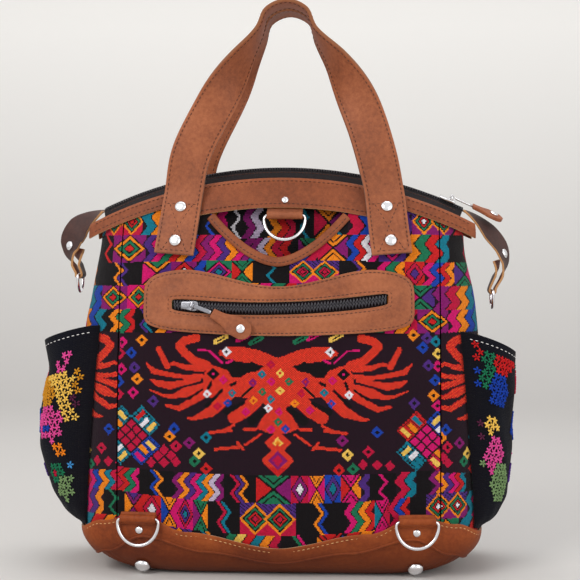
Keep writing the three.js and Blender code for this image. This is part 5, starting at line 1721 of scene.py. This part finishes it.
def tab_stops(end):
    """Places along the tab's middle, and its widths: off the zip, round the bar and back inside."""
    ring_turn = SIDE_WIRE_HALF + CLEAR + TAB_THICKNESS / 2
    bar_out, bar_up = SIDE_BAR[end]
    round_bar = [(bar_out + ring_turn * math.cos(a), bar_up + ring_turn * math.sin(a), 18)
                 for a in map(math.radians, (20, -25, -70, -115, -160, -195))]
    stops = TAB_ROUTE[end] + round_bar + TAB_RETURN[end]
    places = np.array([(end * (TAPE_END[0] + out), 0, TAPE_END[1] + up) for out, up, _ in stops])
    return places, [width for _, _, width in stops]


def twisted(p, end):
    """Turns the tab's flesh side to the front between the zip and the ring, with what it holds."""
    outer = tab_stops(end)[0][:7]
    z = outer[::-1, 2]
    centre = points(np.interp(p[:, 2], z, outer[::-1, 0]), 0 * p[:, 2], p[:, 2])
    share = clamp01((TAPE_END[1] - 1 - p[:, 2]) / (TAPE_END[1] - 1 - outer[-1, 2]))
    angle = math.radians(TAB_TWIST[end]) * np.sin(np.pi * share ** 0.8) * end
    slope = (np.interp(p[:, 2] - 3, z, outer[::-1, 0])
             - np.interp(p[:, 2] + 3, z, outer[::-1, 0])) / 6
    axis = unit(points(slope, 0 * slope, -1 + 0 * slope))
    arm = p - centre
    c, s = np.cos(angle)[:, None], np.sin(angle)[:, None]
    lengthways = axis * np.sum(axis * arm, -1, keepdims=True)
    return centre + arm * c + np.cross(axis, arm) * s + lengthways * (1 - c)


TAB_STEPS = 130
for label, end in (("left", -1), ("right", 1)):
    stops, widths = tab_stops(end)
    line, length = smooth_line(stops, TAB_STEPS)
    run = np.concatenate([[0], np.cumsum(np.linalg.norm(np.diff(stops, axis=0), axis=1))])
    width = np.interp(np.linspace(0, run[-1], TAB_STEPS), run, widths)
    out = np.cross(unit(np.gradient(line, axis=0)), [0, 1.0, 0]) * -end

    def place(u, v, end=end, line=line, width=width, out=out):
        at = u * (TAB_STEPS - 1)
        pick = lambda values: np.interp(at, np.arange(TAB_STEPS), values)
        base = points(pick(line[:, 0]), (v - 0.5) * pick(width), pick(line[:, 2]))
        lift = TAB_THICKNESS / 2 - 0.15 + 0.2 * np.sin(np.pi * v) + 0.15 * np.sin(u * 30 + v * 4)
        return twisted(base + points(pick(out[:, 0]), 0 * u, pick(out[:, 2])) * lift[:, None], end)

    tab = grid(f"{label}-shoulder-strap", TAB_STEPS - 1, 14, place, tan, inside_brown, raw_edge,
               slot="leather")
    if Vector(tab.data.polygons[0].normal).dot(Vector(out[0])) < 0:
        tab.data.flip_normals()
    rub(tab, lambda p: 0.3 + 0.3 * np.sin(p[:, 2] / 6) * np.sin(p[:, 1] / 5))
    wall(tab, TAB_THICKNESS - 0.3, 0.4, rim=2)
    tab.modifiers["thickness"].material_offset = 1
    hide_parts(f"{label}_shoulder_tab")

# ---------------------------------------------------------------- rings, rivets, studs and sliders
for node in nodes:
    if node.endswith("_snap"):
        end = -1 if node.startswith("left") else 1
        snap = smooth_copy(node, bright, 2, 45, "hardware", 0.35)
        turned = twisted(read(snap.data.vertices, "co") / MM, end) * MM
        snap.data.vertices.foreach_set("co", turned.ravel())
    elif node.endswith(("_rivet", "_stud")):
        smooth_copy(node, bright, 2, 45, "hardware", 0.35)
    elif node.endswith("_ring"):
        smooth_copy(node, bright, 2, None, "hardware", 0.08)
    elif node in ("main_slider", "main_pull"):
        smooth_copy(node, bright, 2, 40, "hardware")
    elif node in ("pocket_slider", "pocket_pull"):
        smooth_copy(node, gunmetal, 2, 40, "hardware")
    elif node.endswith("_pull_tab"):
        smooth_copy(node, tan, 2, 40, "leather")
    elif node.endswith("_ring_loop"):
        hide, slot = (saddle, "base_leather") if node.startswith("lower") else (tan, "leather")
        smooth_copy(node, hide, 2, 50, slot, -0.15)

# ---------------------------------------------------------------- floor, light and camera
# The floor's own sizes are metres.
SWEEP_RADIUS, SWEEP_BACK, SWEEP_FRONT, SWEEP_TOP, SWEEP_HALF = 0.9, 1.3, 3.0, 3.2, 4.5
FLOOR_DROP = 0.0005


def sweep_place(u, v):
    """A floor that turns up into a backdrop, in metres."""
    bend = SWEEP_RADIUS * math.pi / 2
    run = v * (SWEEP_FRONT + SWEEP_BACK + bend + SWEEP_TOP) - SWEEP_FRONT
    angle = clamp01((run - SWEEP_BACK) / bend) * math.pi / 2
    y = np.minimum(run, SWEEP_BACK) + SWEEP_RADIUS * np.sin(angle)
    z = SWEEP_RADIUS * (1 - np.cos(angle)) + np.maximum(run - SWEEP_BACK - bend, 0)
    return points(mix(-SWEEP_HALF, SWEEP_HALF, u), y, z - FLOOR_DROP)


floor_mesh = bpy.data.meshes.new("floor")
with edited(floor_mesh) as bm:
    bmesh.ops.create_grid(bm, x_segments=2, y_segments=96, size=0.5)
    for v in bm.verts:
        v.co = Vector(sweep_place(v.co.x + 0.5, v.co.y + 0.5))
floor_mesh.shade_smooth()
paper = Finish("pale paper", Base_Color=(0.72, 0.7, 0.68, 1), Roughness=0.9, Emission_Strength=0.34)
paper_place = paper.node("ShaderNodeTexCoord", None, None, 3)
paper_height = paper.node("ShaderNodeSeparateXYZ", None, [paper_place], 2)
paper_rise = paper.node("ShaderNodeMapRange", None, [paper_height, 0.0, 0.9, 0.0, 1.0])
glow = paper.seen() * paper_rise
paper.show(Emission_Color=paper.node("ShaderNodeCombineXYZ", None, [glow, glow, glow * 0.97]))
floor_mesh.materials.append(paper.material)
floor = bpy.data.objects.new("floor", floor_mesh)
bpy.context.scene.collection.objects.link(floor)

world = bpy.data.worlds.new("studio")
bpy.context.scene.world = world
world.use_nodes = True
sky = Nodes(world.node_tree)
background = world.node_tree.nodes["Background"]
background.inputs["Color"].default_value = (0.93, 0.93, 0.93, 1)
sky.tree.links.new((sky.seen() * 0.5 + 0.5).socket, background.inputs["Strength"])


def lamp(name, place, aim, size, energy, tint=(1, 1, 1)):
    data = bpy.data.lights.new(name, "AREA")
    data.shape = "RECTANGLE"
    data.size, data.size_y = size
    data.energy = energy
    data.color = tint
    made = bpy.data.objects.new(name, data)
    bpy.context.scene.collection.objects.link(made)
    made.matrix_world = (Matrix.Translation(place)
                         @ (Vector(aim) - Vector(place)).to_track_quat("-Z", "Y").to_matrix().to_4x4())


lamp("window", (-1.1, -1.5, 1.5), (0, 0, 0.22), (1.2, 1.2), 22, (1, 0.98, 0.95))
lamp("fill", (1.5, -1.3, 0.8), (0, 0, 0.2), (1.4, 1.4), 11)
lamp("top", (0.1, 0.3, 1.9), (0, 0, 0.2), (1.6, 1.0), 12)

camera = bpy.data.objects.new("camera", bpy.data.cameras.new("camera"))
bpy.context.scene.collection.objects.link(camera)
bpy.context.scene.camera = camera
camera.data.lens = 81
camera.data.sensor_width = 36
AZIMUTH, ELEVATION, DISTANCE = math.radians(3.3), math.radians(1.5), 1.275
aim = Vector((0.0075, 0, 0.266))
back = Vector((math.sin(AZIMUTH) * math.cos(ELEVATION), -math.cos(AZIMUTH) * math.cos(ELEVATION),
               math.sin(ELEVATION)))
camera.matrix_world = (Matrix.Translation(aim + back * DISTANCE)
                       @ (-back).to_track_quat("-Z", "Y").to_matrix().to_4x4())
bpy.context.scene.view_settings.view_transform = "Standard"
